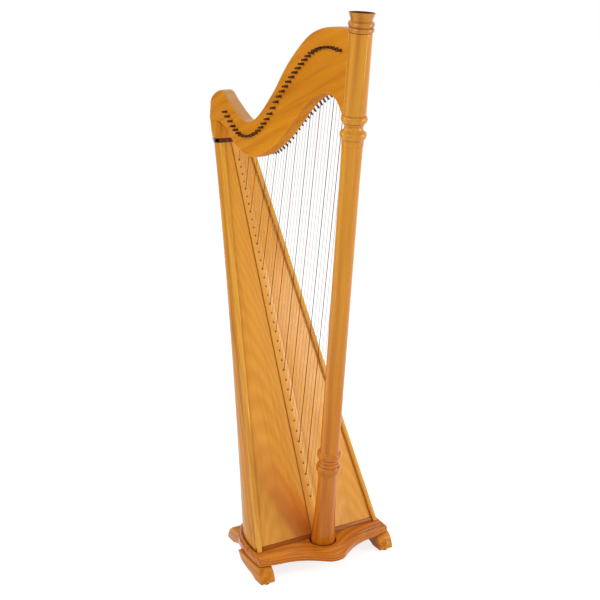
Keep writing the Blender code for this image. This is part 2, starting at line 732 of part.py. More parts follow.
def neck_space():
    """Space that the neck needs in the shoulder block, open towards the harp's right side."""
    outline = grown_outline(neck_outline(), GAP)
    return new_object("neck_space", plate(outline, NECK_NEAR_Y - NECK_THICKNESS, NECK_FAR_Y + GAP))


def neck_plate():
    """The neck's board with rounded edges, its end hollowed to fit the pillar."""
    bm = plate(neck_outline(), NECK_NEAR_Y, NECK_FAR_Y)
    bmesh.ops.recalc_face_normals(bm, faces=bm.faces)
    rim = [edge for edge in bm.edges if abs(edge.verts[0].co.y - edge.verts[1].co.y) < 0.00001]
    bmesh.ops.bevel(bm, geom=rim, offset=NECK_EDGE_RADIUS, affect="EDGES", segments=1, profile=0.5,
                    material=-1)
    neck = new_object("neck", bm)
    return combine(neck, pillar_cutter(), "DIFFERENCE")


def string_share(number):
    """0 for the longest string, 1 for the shortest."""
    return (number - 1) / (STRING_COUNT - 1)


def string_radius(number):
    return mix(STRING_RADIUS_BASS, STRING_RADIUS_TREBLE, string_share(number))


def eyelet(number):
    """Where a string meets the soundboard's face."""
    share = string_share(number)
    share = share * (1 + EYELET_CROWDING) - EYELET_CROWDING * share ** 2
    z = BASE_TOP + mix(FIRST_EYELET_RISE, SOUNDBOX_RISE - LAST_EYELET_DROP, share)
    return on_board(slope_at(z, 0), 0, 0)


def tuning_pin(number):
    """The centre of a tuning pin in the plane of the strings."""
    share = string_share(number)
    share = share * (1 - PIN_SPREAD) + PIN_SPREAD * share ** 2
    along = mix(FIRST_PIN, LAST_PIN, share)
    row = smooth_curve(PIN_ROW, 6)[::-1]
    height = float(np.interp(along, [p.x for p in row], [p.y for p in row]))
    place = neck_place(along, height)
    return Vector((place.x, 0, place.y))


def string_line(number):
    """A string's lower end over the centre strip, its upper end beside its pin, and its direction."""
    radius = string_radius(number)
    start = eyelet(number) + BOARD_OUT * (STRIP_FACE + 2 * radius)
    pin = tuning_pin(number)
    lean = (pin - start).normalized()
    beside = Vector((lean.z, 0, -lean.x)) * (PIN_RADIUS + radius + GAP)
    end = pin - beside
    return start, end, (end - start).normalized()


def bridge_drop(number):
    return mix(BRIDGE_DROP_BASS, BRIDGE_DROP_TREBLE, string_share(number))


def lever_pivot(number):
    """Centre of a lever's hinge, over the point that raises its string by a semitone."""
    start, end, along = string_line(number)
    drop = bridge_drop(number)
    speaking = (end - start).length - drop
    place = end - along * (drop + speaking * SEMITONE_SHARE)
    return place + Vector((0, LEVER_PIVOT_REACH, 0))


def string_lean(number):
    """Angle of a string from the vertical, towards +X."""
    along = string_line(number)[2]
    return math.atan2(along.x, along.z)


def string_tube(number):
    """A string from the rib inside the soundbox, bent at its eyelet, up to its pin."""
    start, end, along = string_line(number)
    radius = string_radius(number)
    foot = eyelet(number) + BOARD_OUT * (SHELL_FACE - RIB_DEPTH / 2)
    bend = (BOARD_OUT + along).normalized()
    stretch = 1 / BOARD_OUT.dot(bend)
    rings = []
    for centre, normal, widen in ((foot, BOARD_OUT, 1), (start, bend, stretch), (end, along, 1)):
        upward = normal.cross(Vector((0, 1, 0)))
        ring = []
        for i in range(6):
            angle = 2 * math.pi * i / 6
            across = Vector((0, radius * math.cos(angle), 0))
            ring.append(centre + across + upward * (radius * math.sin(angle) * widen))
        rings.append(ring)
    return loft(rings)


def strings():
    """All strings, knotted into the rib that runs behind the soundboard."""
    back = SHELL_FACE - RIB_DEPTH
    low = slope_at(eyelet(1).z, 0) - RIB_OVERRUN
    high = slope_at(eyelet(STRING_COUNT).z, 0) + RIB_OVERRUN
    corners = ((low, -RIB_HALF), (low, RIB_HALF), (high, RIB_HALF), (high, -RIB_HALF))
    rings = [[on_board(rise, side, out) for rise, side in corners] for out in (back, SHELL_FACE)]
    comb = new_object("strings", loft(rings))
    tubes = join([string_tube(number) for number in range(1, STRING_COUNT + 1)])
    combine(comb, new_object("string_tubes", tubes), "UNION")
    return finish(comb, STRING_PALE, roughness=0.35)


def bracket():
    """A lever's bracket about its hinge: a foot sunk in the neck, two ears and the hinge pin."""
    floor = NECK_FAR_Y - LEVER_PIVOT_REACH
    inner = LEVER_HALF_WIDTH + HINGE_CLEARANCE
    outer = inner + EAR_THICKNESS
    sunk = floor - BRACKET_FOOT_THICKNESS
    made = new_object("bracket", box((-outer, sunk, -BRACKET_FOOT_DOWN),
                                     (outer, floor + BRACKET_FOOT_THICKNESS, BRACKET_FOOT_UP)))
    tip = LEVER_PIN_RADIUS + 2 * EAR_THICKNESS
    for side in (-1, 1):
        across = sorted((side * inner, side * outer))
        ear = box((across[0], floor - EAR_THICKNESS, -EAR_HALF_LENGTH), (across[1], tip, EAR_HALF_LENGTH))
        combine(made, new_object("ear", ear), "UNION")
    middle = outer - EAR_THICKNESS / 2
    pin = cylinder(Vector((-middle, 0, 0)), Vector((middle, 0, 0)), LEVER_PIN_RADIUS, 6)
    return combine(made, new_object("hinge_pin", pin), "UNION")


def tuning_pins():
    """Pins through the neck, their heads on the right and their tips in the strings' plane."""
    pins = []
    for number in range(1, STRING_COUNT + 1):
        pin = tuning_pin(number)
        near = pin + Vector((0, NECK_NEAR_Y - PIN_NEAR_REACH, 0))
        far = pin + Vector((0, NECK_FAR_Y + PIN_FAR_REACH, 0))
        pins.append(cylinder(near, far, PIN_RADIUS, 6))
    return pins


def bridge_pins():
    """Short pins on the neck's far face that the strings bear on."""
    pins = []
    for number in range(1, STRING_COUNT + 1):
        end, along = string_line(number)[1:]
        aside = Vector((along.z, 0, -along.x)) * (BRIDGE_RADIUS + string_radius(number) + GAP)
        foot = end - along * bridge_drop(number) + aside + Vector((0, NECK_FAR_Y, 0))
        reach = Vector((0, BRIDGE_REACH, 0))
        pins.append(cylinder(foot - reach / 2, foot + reach, BRIDGE_RADIUS, 6))
    return pins


def lever_brackets():
    """A bracket on the neck's far face at every lever's hinge."""
    pattern = bracket()
    units = []
    for number in range(1, STRING_COUNT + 1):
        unit = bmesh.new()
        unit.from_mesh(pattern.data)
        turn = Matrix.Rotation(string_lean(number), 4, "Y")
        bmesh.ops.transform(unit, matrix=Matrix.Translation(lever_pivot(number)) @ turn, verts=unit.verts)
        units.append(unit)
    bpy.data.objects.remove(pattern)
    return new_object("lever_brackets", join(units))


def neck():
    """The neck with its pins and brackets, which never move."""
    made = neck_plate()
    combine(made, new_object("pins", join(tuning_pins() + bridge_pins())), "UNION")
    combine(made, lever_brackets(), "UNION")
    return finish(made, WOOD_NECK, smooth_angle=30)


def lever_outline():
    """Side view of a lever: hub, then a handle out and down, as distances out from and along the neck."""
    way = Vector((math.sin(HANDLE_ANGLE), -math.cos(HANDLE_ANGLE)))
    side = Vector((math.cos(HANDLE_ANGLE), math.sin(HANDLE_ANGLE))) * (HANDLE_THICKNESS / 2)
    elbow = Vector((HANDLE_REACH, 0))
    tip = elbow + way * HANDLE_LENGTH
    outline = [elbow - side, tip - side, tip + side, elbow + side]
    first = math.radians(60)
    for i in range(7):
        angle = first + (2 * math.pi - 2 * first) * i / 6
        outline.append(Vector((math.cos(angle), math.sin(angle))) * LEVER_HUB_RADIUS)
    return outline


def lever_mesh():
    """A lever about its hinge, bored for the hinge pin."""
    outline = [(point.x, point.y) for point in lever_outline()]
    rings = []
    for across in (-LEVER_HALF_WIDTH, LEVER_HALF_WIDTH):
        rings.append([Vector((across, out, up)) for out, up in outline])
    made = new_object("lever_pattern", loft(rings))
    reach = Vector((2 * LEVER_HALF_WIDTH, 0, 0))
    bore = cylinder(-reach, reach, LEVER_PIN_RADIUS + HINGE_CLEARANCE, 6)
    combine(made, new_object("bore", bore), "DIFFERENCE")
    mesh = made.data
    bpy.data.objects.remove(made)
    return mesh


def handle_colour(number):
    """Red for every C and black for every F, counted from the lowest A."""
    note = (number - 1) % 7
    return {2: DARK_RED, 5: BLACK}.get(note, GREY)


def levers():
    """One lever for each string, its origin on its hinge."""
    pattern = lever_mesh()
    for number in range(1, STRING_COUNT + 1):
        lever = bpy.data.objects.new(f"lever_{number:02d}", pattern.copy())
        bpy.context.collection.objects.link(lever)
        lever.location = lever_pivot(number)
        lever.rotation_euler = (0, string_lean(number), 0)
        finish(lever, handle_colour(number), roughness=0.45)


def centre_on_box():
    """Move everything so that the origin lies at the bottom centre of the harp's box."""
    bpy.context.view_layer.update()
    corners = []
    for piece in bpy.data.objects:
        corners += [piece.matrix_world @ vertex.co for vertex in piece.data.vertices]
    low = Vector([min(corner[i] for corner in corners) for i in range(3)])
    high = Vector([max(corner[i] for corner in corners) for i in range(3)])
    shift = Vector(((low.x + high.x) / 2, (low.y + high.y) / 2, low.z))
    for piece in bpy.data.objects:
        piece.location -= shift
    bpy.context.view_layer.update()


def main():
    for old in list(bpy.data.objects):
        bpy.data.objects.remove(old, do_unlink=True)
    feet()
    base_board()
    base_batten()
    pillar()
    pillar_cap()
    soundbox_shell()
    shell_brace()
    soundboard()
    edge_trim("edge_trim_left", 1)
    edge_trim("edge_trim_right", -1)
    center_strip()
    shoulder_block(neck_space())
    collar_band()
    neck()
    strings()
    levers()
    centre_on_box()


main()
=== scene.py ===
"""Looks of a lever harp: lacquered wood, metal fittings and strings over a white floor.

Pieces are modelled in the harp's own axes, where x = 0 and y = 0 lie under the centre of the
pillar's foot.  When a piece is finished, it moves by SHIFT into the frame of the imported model.
+X runs from the soundbox to the pillar, +Y is the side of the strings and levers, and +Z is up.
"""

import json
import math

import bmesh
import bpy
import numpy as np
from mathutils import Matrix, Vector


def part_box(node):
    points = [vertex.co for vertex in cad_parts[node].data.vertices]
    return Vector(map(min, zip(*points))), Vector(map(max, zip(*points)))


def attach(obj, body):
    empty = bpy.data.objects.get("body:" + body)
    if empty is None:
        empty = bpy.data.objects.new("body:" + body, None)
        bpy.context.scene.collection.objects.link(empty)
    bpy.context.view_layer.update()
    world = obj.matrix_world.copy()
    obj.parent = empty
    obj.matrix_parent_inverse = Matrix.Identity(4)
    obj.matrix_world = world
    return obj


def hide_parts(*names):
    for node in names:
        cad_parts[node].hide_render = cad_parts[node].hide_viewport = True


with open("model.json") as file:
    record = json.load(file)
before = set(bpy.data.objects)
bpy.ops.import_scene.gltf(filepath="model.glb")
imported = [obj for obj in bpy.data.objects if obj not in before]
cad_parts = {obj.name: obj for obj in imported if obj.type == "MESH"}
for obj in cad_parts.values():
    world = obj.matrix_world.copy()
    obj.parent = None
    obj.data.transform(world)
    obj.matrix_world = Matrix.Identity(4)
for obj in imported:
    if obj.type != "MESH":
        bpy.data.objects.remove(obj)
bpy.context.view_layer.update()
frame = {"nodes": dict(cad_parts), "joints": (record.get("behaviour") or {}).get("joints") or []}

# Base, feet and glides
GLIDE_HEIGHT = 0.004
GLIDE_RADIUS = 0.0085
FOOT_BOTTOM = 0.0043
FOOT_HEIGHT = 0.0434
FOOT_WIDTH = 0.044
FOOT_HEEL = 0.012
FOOT_EDGE = 0.0018
FRONT_FOOT = (0.036, 0.140, 0.2187)
REAR_FOOT = (-0.255, 0.142, 0.175)
BASE_BOTTOM = 0.048
FASCIA_TOP = 0.065
BASE_TOP = 0.072
BASE_MARGIN = 0.014
TIER_INSET = 0.007
CORNER_SETBACK = 0.001
FASCIA_FRONT = ((0.088, 0.0), (0.083, 0.10), (0.062, 0.24), (0.042, 0.40), (0.029, 0.58),
                (0.023, 0.78), (0.012, 1.0))
TIER_FRONT = ((0.056, 0.0), (0.053, 0.12), (0.040, 0.26), (0.024, 0.40), (0.012, 0.56),
              (0.005, 0.78), (0.000, 1.0))

# Pillar
PILLAR_RISE = 1.478
PILLAR_TOP = Vector((0.1656, -0.024, PILLAR_RISE))
PILLAR_DIRECTION = PILLAR_TOP.normalized()
PILLAR_LENGTH = PILLAR_TOP.length
SOCKET_DEPTH = 0.009
FOOT_RADIUS = 0.0337
SHAFT_RADIUS = 0.0258
HEAD_RADIUS = 0.0293
BEAD_RADIUS = 0.0342
GROOVE_RADIUS = 0.0240
BEAD_HALF = 0.0095
BEAD_SPREAD = 2.25 * BEAD_HALF
SOCKET_CLEARANCE = 0.0040
SOCKET_EDGE = 0.0012
LOWER_TURNING = 0.262
UPPER_TURNING = PILLAR_LENGTH - 0.276
CAP_FOOT = PILLAR_LENGTH - 0.0467
CAP_THROAT = CAP_FOOT + 0.0275
CAP_RIM_RADIUS = 0.0324
CAP_THROAT_RADIUS = 0.0266
CAP_LEVEL = (0.8625, -0.5061)
CAP_TILT = 0.09

# Soundbox
SOUNDBOX_RISE = 1.059
BOARD_FOOT_X = -0.0256
BOARD_LEAN = math.radians(25.86)
COLLAR_TILT = math.radians(8.0)
SHELL_HALF = (0.200, 0.052)
SHELL_DEPTH = (0.215, 0.078)
SHELL_TAPER_POWER = 1.7
ROUNDNESS = 2.5
SHELL_WALL = 0.006
BOARD_THICKNESS = 0.004
BOARD_EDGE = 0.0004
GAP = 0.0003
SOUND_HOLES = ((0.24, 0.0550), (0.44, 0.0467), (0.63, 0.0385), (0.80, 0.0302))
SOUND_HOLE_ASPECT = 0.62
BATTEN_HEIGHT = 0.010
BATTEN_REACH = (0.003, -0.015)
BATTEN_EDGE = 0.0010
TRIM_WIDTH = 0.014
TRIM_THICKNESS = 0.006
TRIM_SETBACK = 0.0005
TRIM_EDGE = 0.0024
STRIP_THICKNESS = 0.003
STRIP_HALF = (0.019, 0.013)
STRIP_EDGE = 0.0008
LINE_REACH = (0.0002, 0.0011)
LINE_HEIGHT = 0.0009

# Shoulder and collar
SHOULDER_TOP = 1.200
SHOULDER_HALF_TOP = 0.0486
SHOULDER_ROUNDNESS_TOP = 8.0
SHOULDER_SWELL = 0.004
SEAT_REACH = 0.036
COLLAR_HEIGHT = 0.012
COLLAR_THICKNESS = 0.0015

# Neck: places are shares of the way from its tail to the pillar, and heights over that line
NECK_TAIL = Vector((-0.5428, 1.139))
NECK_END_DROP = 0.110
NECK_FAR_Y = -0.0115
NECK_NEAR_Y = -0.0475
NECK_EDGE = 0.0048
NECK_TOP = ((-0.096, 0.112), (-0.087, 0.138), (-0.045, 0.148), (0.020, 0.140), (0.083, 0.097),
            (0.150, 0.052), (0.225, 0.010), (0.290, 0.000), (0.355, 0.008), (0.458, 0.042),
            (0.546, 0.083), (0.631, 0.110), (0.721, 0.126), (0.809, 0.121), (0.903, 0.101),
            (0.970, 0.082))
NECK_LOW = ((-0.097, 0.088), (-0.090, 0.075), (-0.066, 0.067), (-0.020, 0.057), (0.056, 0.022),
            (0.115, -0.027), (0.191, -0.071), (0.265, -0.100), (0.341, -0.112), (0.430, -0.112),
            (0.520, -0.099), (0.618, -0.073), (0.710, -0.047), (0.790, -0.042), (0.855, -0.051),
            (0.905, -0.073), (0.935, -0.100), (0.958, -0.130))

# Strings, counted from the longest
STRING_COUNT = 38
NUMBERS = range(1, STRING_COUNT + 1)
STRING_RADIUS = (0.00100, 0.00068)
STRING_FOOT_DEPTH = 0.008
EYELET_RISE = (0.103, 1.007)
EYELET_CROWDING = 0.206
EYELET_CLEARANCE = 0.0006
EYELET_RIM = 0.0011
WINDING_TURNS = 3
WINDING_STEPS = 14
WINDING_PITCH = 2.3
PIN_ROW = ((0.980, 0.020), (0.944, 0.035), (0.890, 0.055), (0.820, 0.070), (0.750, 0.072),
           (0.650, 0.053), (0.529, 0.017), (0.430, -0.025), (0.355, -0.043), (0.290, -0.044),
           (0.213, -0.028), (0.147, 0.007), (0.106, 0.038), (0.065, 0.069), (0.040, 0.088))
FIRST_PIN = 0.944
LAST_PIN = 0.065
PIN_SPREAD = 0.033
PIN_RADIUS = 0.0026
PIN_REACH = 0.0155
PIN_HEAD_RADIUS = 0.0037
PIN_HEAD_HALF = 0.0034
PIN_SQUARE = 0.011
BRIDGE_RADIUS = 0.0012
BRIDGE_REACH = 0.0135
BRIDGE_DROP = (0.040, 0.0235)

# Levers
LEVER_HALF_WIDTH = 0.0032
LEVER_HUB_RADIUS = 0.0052
LEVER_PIN_RADIUS = 0.0013
LEVER_PIVOT_REACH = 0.008
LEVER_EDGE = 0.0006
HANDLE_REACH = 0.008
HANDLE_LENGTH = 0.027
HANDLE_THICKNESS = 0.0048
HANDLE_ANGLE = math.radians(38)
HUB_MOUTH = math.radians(60)
EAR_INNER = 0.0035
EAR_THICKNESS = 0.0012
EAR_RADIUS = 0.0034
BRACKET_UP = 0.0046
BRACKET_DOWN = 0.0080
BRACKET_EDGE = 0.0016

# Camera and lamps in the harp's own axes, a lamp by place, aim, size and power
CAMERA_LENS = 70.96
CAMERA_SENSOR = 36
CAMERA_PLACE = Vector((2.5597, -1.5884, 1.7465))
CAMERA_RIGHT = Vector((0.50269, 0.86437, 0.01248))
CAMERA_UP = Vector((-0.26802, 0.14211, 0.95287))
LAMPS = {"key": ((0.9, -3.0, 2.4), (-0.1, 0, 0.9), (1.8, 1.8), 40),
         "left edge": ((-1.8, -2.45, 2.0), (0.0, 0, 0.9), (0.35, 2.0), 18),
         "front right": ((1.75, 2.5, 1.6), (-0.2, 0, 0.7), (0.9, 1.8), 40),
         "right strip": ((2.35, 1.9, 0.6), (0.1, 0, 0.9), (0.14, 1.8), 12),
         "overhead": ((-0.5, 1.0, 3.1), (-0.4, 0, 1.1), (0.8, 0.8), 11)}
CARD_PLACE = Vector((-2.2, -1.35, 0.9))
CARD_FACING = Vector((0.84, 0.52, 0.17))

WHITE = (1, 1, 1, 1)
# Colour of the painted shade laid into seams, grooves and corners
SEAM_SHADE_COLOUR = (0.52, 0.34, 0.24, 1.0)
# Colour of the painted shadow and reflection of the pillar on the board
PILLAR_SHADOW_COLOUR = (0.58, 0.138, 0.017, 1.0)
UPRIGHT = Vector((0, 0, 1))
NO_PLACE = Vector((0, 0, 0))
TOUCHING = 0.00001
SHIFT = Vector((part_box("base_board")[1].x - FASCIA_FRONT[0][0], 0, 0))
BOARD_UP = Vector((-math.sin(BOARD_LEAN), 0, math.cos(BOARD_LEAN)))
BOARD_OUT = Vector((math.cos(BOARD_LEAN), 0, math.sin(BOARD_LEAN)))
BOARD_FOOT = Vector((BOARD_FOOT_X, 0, BASE_TOP))
BOARD_BOTTOM = BASE_TOP + BATTEN_HEIGHT
SHELL_FACE = -(BOARD_THICKNESS + GAP)
STRIP_FACE = GAP + STRIP_THICKNESS


def mix(first, second, share):
    return first + (second - first) * share


def smooth_curve(points, steps):
    """A Catmull-Rom curve through the points, with so many steps between each two."""
    controls = [Vector(point) for point in points]
    controls = [2 * controls[0] - controls[1], *controls, 2 * controls[-1] - controls[-2]]
    made = []
    for i in range(1, len(controls) - 2):
        before, start, end, after = controls[i - 1:i + 3]
        for step in range(steps):
            t = step / steps
            made.append(0.5 * (2 * start + (end - before) * t
                               + (2 * before - 5 * start + 4 * end - after) * t ** 2
                               + (3 * start - before - 3 * end + after) * t ** 3))
    made.append(controls[-2])
    return made


# Shaders

class Nodes:
    """Short ways to add and link the nodes of one tree."""

    def __init__(self, tree):
        self.tree = tree

    def feed(self, node, **inputs):
        """Link or set inputs by name, with _ for a space."""
        for name, value in inputs.items():
            self.feed_socket(node.inputs[name.replace("_", " ")], value)

    def feed_socket(self, socket, value):
        if isinstance(value, bpy.types.NodeSocket):
            self.tree.links.new(value, socket)
        else:
            socket.default_value = value

    def add(self, kind, *values, **named):
        """A node whose first inputs take the values. Small names are settings, capitals are inputs."""
        node = self.tree.nodes.new(kind)
        for name, value in named.items():
            if name[0].islower():
                setattr(node, name, value)
            else:
                self.feed(node, **{name: value})
        for socket, value in zip(node.inputs, values):
            self.feed_socket(socket, value)
        return node

    def math(self, operation, *values):
        return self.add("ShaderNodeMath", *values, operation=operation).outputs[0]

    def plus(self, first, second):
        return self.math("ADD", first, second)

    def times(self, first, second):
        return self.math("MULTIPLY", first, second)

    def ramp(self, value, low, high):
        """0 below low, 1 above high, and a smooth rise between."""
        node = self.add("ShaderNodeMapRange", value, low, high, interpolation_type="SMOOTHSTEP")
        return node.outputs["Result"]

    def blend(self, share, first, second, kind="MIX"):
        node = self.add("ShaderNodeMix", share, data_type="RGBA", blend_type=kind)
        self.feed_socket(node.inputs[6], first)
        self.feed_socket(node.inputs[7], second)
        return node.outputs[2]

    def split(self, vector):
        return self.add("ShaderNodeSeparateXYZ", vector).outputs

    def noise(self, vector, scale, detail=3.0, roughness=0.55):
        stretched = self.add("ShaderNodeVectorMath", vector, scale, operation="MULTIPLY").outputs[0]
        return self.add("ShaderNodeTexNoise", Vector=stretched, Scale=1.0, Detail=detail,
                        Roughness=roughness).outputs["Fac"]


def new_group(name, **inputs):
    """A shader group that puts out a colour, a roughness and a height: its nodes, inputs and end."""
    tree = bpy.data.node_groups.new(name, "ShaderNodeTree")
    for label, value in inputs.items():
        kind = "Float" if isinstance(value, float) else {3: "Vector", 4: "Color"}[len(value)]
        socket = tree.interface.new_socket(label.replace("_", " "), in_out="INPUT",
                                           socket_type="NodeSocket" + kind)
        socket.default_value = value
    for label, kind in (("Color", "Color"), ("Roughness", "Float"), ("Height", "Float")):
        tree.interface.new_socket(label, in_out="OUTPUT", socket_type="NodeSocket" + kind)
    given = tree.nodes.new("NodeGroupInput").outputs
    return Nodes(tree), given, tree.nodes.new("NodeGroupOutput")


def wood_grain_group():
    """Lacquered wood: Z of the vector runs along the grain, in metres. Seams and height add painted light and
    shade.
    """
    n, given, result = new_group("wood grain", Vector=(0, 0, 0), Pale=WHITE, Warm=WHITE, Dark=(0, 0, 0, 1),
                                 Low_Tint=WHITE, Height=1.0, Ring_Place=0.0, Figure=20.0, Contrast=0.5,
                                 Fibre=0.3, Seam=0.8)
    vector, contrast, strength, dark = (given[name] for name in ("Vector", "Contrast", "Fibre", "Dark"))
    wander = n.noise(vector, (5.0, 5.0, 0.9), 2.0)
    rings = n.plus(n.times(given["Ring Place"], given["Figure"]), n.times(wander, 3.0))
    wave = n.math("MULTIPLY_ADD", n.math("SINE", n.times(rings, 2 * math.pi)), 0.5, 0.5)
    broad = n.noise(vector, (7.0, 7.0, 1.2), 2.0)
    streak = n.noise(vector, (70.0, 70.0, 2.2), 3.0)
    fibre = n.noise(vector, (420.0, 420.0, 9.0), 4.0, 0.65)
    pores = n.ramp(n.noise(vector, (900.0, 900.0, 26.0), 2.0), 0.60, 0.74)
    share = n.math("MULTIPLY_ADD", wave, contrast, n.times(n.math("SUBTRACT", 1.0, contrast), broad))
    colour = n.blend(n.ramp(share, 0.2, 0.8), given["Pale"], given["Warm"])
    colour = n.blend(n.times(n.ramp(streak, 0.45, 0.75), n.times(strength, 1.4)), colour, dark)
    colour = n.blend(n.times(n.ramp(fibre, 0.45, 0.80), strength), colour, dark)
    colour = n.blend(n.times(pores, strength), colour, dark)
    # Painted light and shade by height: low down the colour is multiplied by a tint, which fades out by 1 m
    height_light = n.blend(n.ramp(given["Height"], 0.05, 1.0), given["Low Tint"], WHITE)
    colour = n.blend(1.0, colour, height_light, "MULTIPLY")
    # Painted shade: the colour is darkened in seams, grooves and corners, where ambient occlusion finds them
    nearby = n.add("ShaderNodeAmbientOcclusion", samples=8, Distance=0.009)
    seam = n.times(n.ramp(nearby.outputs["AO"], 0.86, 0.36), given["Seam"])
    n.feed(result, Color=n.blend(seam, colour, SEAM_SHADE_COLOUR, "MULTIPLY"),
           Roughness=n.math("MULTIPLY_ADD", fibre, 0.14, 0.15),
           Height=n.math("SUBTRACT", n.times(fibre, 0.6), n.times(pores, 0.4)))
    return n.tree


def handled_group():
    """Faint smudges and scratches for metal, plastic and rubber."""
    n, given, result = new_group("handled surface", Vector=(0, 0, 0), Colour=WHITE, Worn=WHITE,
                                 Base_Roughness=0.3, Amount=0.3)
    smudge = n.noise(given["Vector"], (90.0, 90.0, 90.0), 4.0)
    share = n.times(n.ramp(smudge, 0.45, 0.75), given["Amount"])
    n.feed(result, Color=n.blend(share, given["Colour"], given["Worn"]),
           Roughness=n.plus(given["Base Roughness"], n.times(n.times(smudge, 0.25), given["Amount"])),
           Height=n.noise(given["Vector"], (900.0, 900.0, 900.0), 2.0))
    return n.tree


WOOD_GRAIN = wood_grain_group()
HANDLED = handled_group()


def new_material(name):
    made = bpy.data.materials.new(name)
    made.use_nodes = True
    return made, Nodes(made.node_tree), made.node_tree.nodes["Principled BSDF"]


def solid_coordinates(n):
    """Object coordinates in the harp's own axes."""
    place = n.add("ShaderNodeTexCoord").outputs["Object"]
    return n.add("ShaderNodeVectorMath", place, tuple(SHIFT), operation="SUBTRACT").outputs[0]


def turned_coordinates(n, grain):
    """Coordinates whose Z runs along the given grain direction, and the place across the rings."""
    turn = Vector(grain).normalized().rotation_difference(UPRIGHT).to_euler()
    vector = n.add("ShaderNodeMapping", Vector=solid_coordinates(n), Rotation=turn).outputs["Vector"]
    x, y, _ = n.split(vector)
    return vector, n.plus(x, n.times(y, 0.6))


def base_coordinates(n):
    """Coordinates whose grain follows the waved front edge of the base."""
    x, y, z = n.split(solid_coordinates(n))
    aside = n.math("DIVIDE", y, 0.066)
    swell = n.math("DIVIDE", 0.070, n.plus(1.0, n.times(aside, aside)))
    across = n.math("SUBTRACT", x, swell)
    vector = n.add("ShaderNodeCombineXYZ", across, z, y).outputs["Vector"]
    return vector, n.plus(n.times(across, 0.55), n.times(z, 2.0))


def board_coordinates(n):
    """Coordinates along the board's slope, with arched rings as on a flat-sawn board."""
    vector = turned_coordinates(n, BOARD_UP)[0]
    _, y, z = n.split(vector)
    aside = n.plus(n.math("ABSOLUTE", y), -0.110)
    arch = n.times(n.times(aside, aside), 14.0)
    return vector, n.plus(arch, n.times(z, 0.45))


def pillar_shadow_patch(n):
    """Painted shadow and reflection of the pillar on the board: a darker band from the pillar's foot up
    towards the right edge.
    """
    _, y, z = n.split(solid_coordinates(n))
    aside = n.plus(n.times(n.plus(z, -0.09), 0.52), 0.030)
    across = n.math("DIVIDE", n.plus(y, aside), 0.062)
    band = n.ramp(n.times(across, across), 1.0, 0.0)
    return n.times(band, n.times(n.ramp(z, 0.40, 0.05), 0.85))


def facing(n, low, high):
    """How far a face looks up: 0 below one height of its normal, 1 above another."""
    normal = n.add("ShaderNodeNewGeometry").outputs["True Normal"]
    return n.ramp(n.split(normal)["Z"], low, high)


def relief(n, group, strength, distance):
    """A bump from a group's height."""
    node = n.add("ShaderNodeBump", Strength=strength, Distance=distance, Height=group.outputs["Height"])
    return node.outputs["Normal"]


def wood(name, pale, warm, dark, grain=UPRIGHT, figure=20.0, contrast=0.5, fibre=0.3, gloss=0.05,
         specular=0.35, low_tint=(1, 1, 1), sheen=(1.0, 0.74, 0.42), seam=0.8, pattern=None,
         painted_shade=None, painted_top_sheen=None):
    """Lacquered wood with its grain along a direction, or with a pattern of its own."""
    made, n, shader = new_material(name)
    vector, ring_place = pattern(n) if pattern else turned_coordinates(n, grain)
    group = n.add("ShaderNodeGroup", node_tree=WOOD_GRAIN, Vector=vector, Ring_Place=ring_place,
                  Height=n.split(solid_coordinates(n))["Z"], Pale=(*pale, 1.0), Warm=(*warm, 1.0),
                  Dark=(*dark, 1.0), Low_Tint=(*low_tint, 1.0), Figure=figure, Contrast=contrast,
                  Fibre=fibre, Seam=seam)
    colour, rough = group.outputs["Color"], group.outputs["Roughness"]
    # Painted shade laid over the grain, such as the pillar's shadow and reflection on the board
    if painted_shade:
        colour = n.blend(painted_shade(n), colour, PILLAR_SHADOW_COLOUR)
    # Painted sheen: faces that look up are made paler; faces that look down are only made rougher
    if painted_top_sheen:
        colour = n.blend(facing(n, 0.25, 0.5), colour, (*painted_top_sheen, 1.0))
        rough = n.plus(rough, n.times(facing(n, -0.05, -0.35), 0.6))
    n.feed(shader, Base_Color=colour, Roughness=rough, Normal=relief(n, group, 0.12, 0.0004),
           Specular_IOR_Level=specular, Specular_Tint=(*sheen, 1.0), Coat_Weight=gloss, Coat_Roughness=0.08)
    return made


def handled(name, colour, worn, roughness, amount=0.4, metallic=0.0, specular=0.5, alpha=1.0):
    """Metal, plastic or rubber with faint marks of use."""
    made, n, shader = new_material(name)
    group = n.add("ShaderNodeGroup", node_tree=HANDLED, Vector=solid_coordinates(n), Colour=(*colour, 1.0),
                  Worn=(*worn, 1.0), Base_Roughness=roughness, Amount=amount)
    n.feed(shader, Base_Color=group.outputs["Color"], Roughness=group.outputs["Roughness"],
           Normal=relief(n, group, 0.08, 0.0001), Metallic=metallic, Specular_IOR_Level=specular, Alpha=alpha)
    return made


# Painted shade: the pillar's colour is darker and redder towards its foot
PILLAR_WOOD = wood("pillar wood", (0.70, 0.300, 0.020), (0.60, 0.220, 0.011), (0.38, 0.105, 0.004),
                   grain=PILLAR_DIRECTION, figure=34, contrast=0.35, fibre=0.25,
                   low_tint=(0.84, 0.60, 0.50), specular=0.18, gloss=0.35)
CAP_WOOD = wood("cap wood", (0.60, 0.240, 0.016), (0.50, 0.170, 0.009), (0.30, 0.08, 0.004),
                grain=PILLAR_DIRECTION, figure=34, contrast=0.35, fibre=0.25, specular=0.30, gloss=0.35)
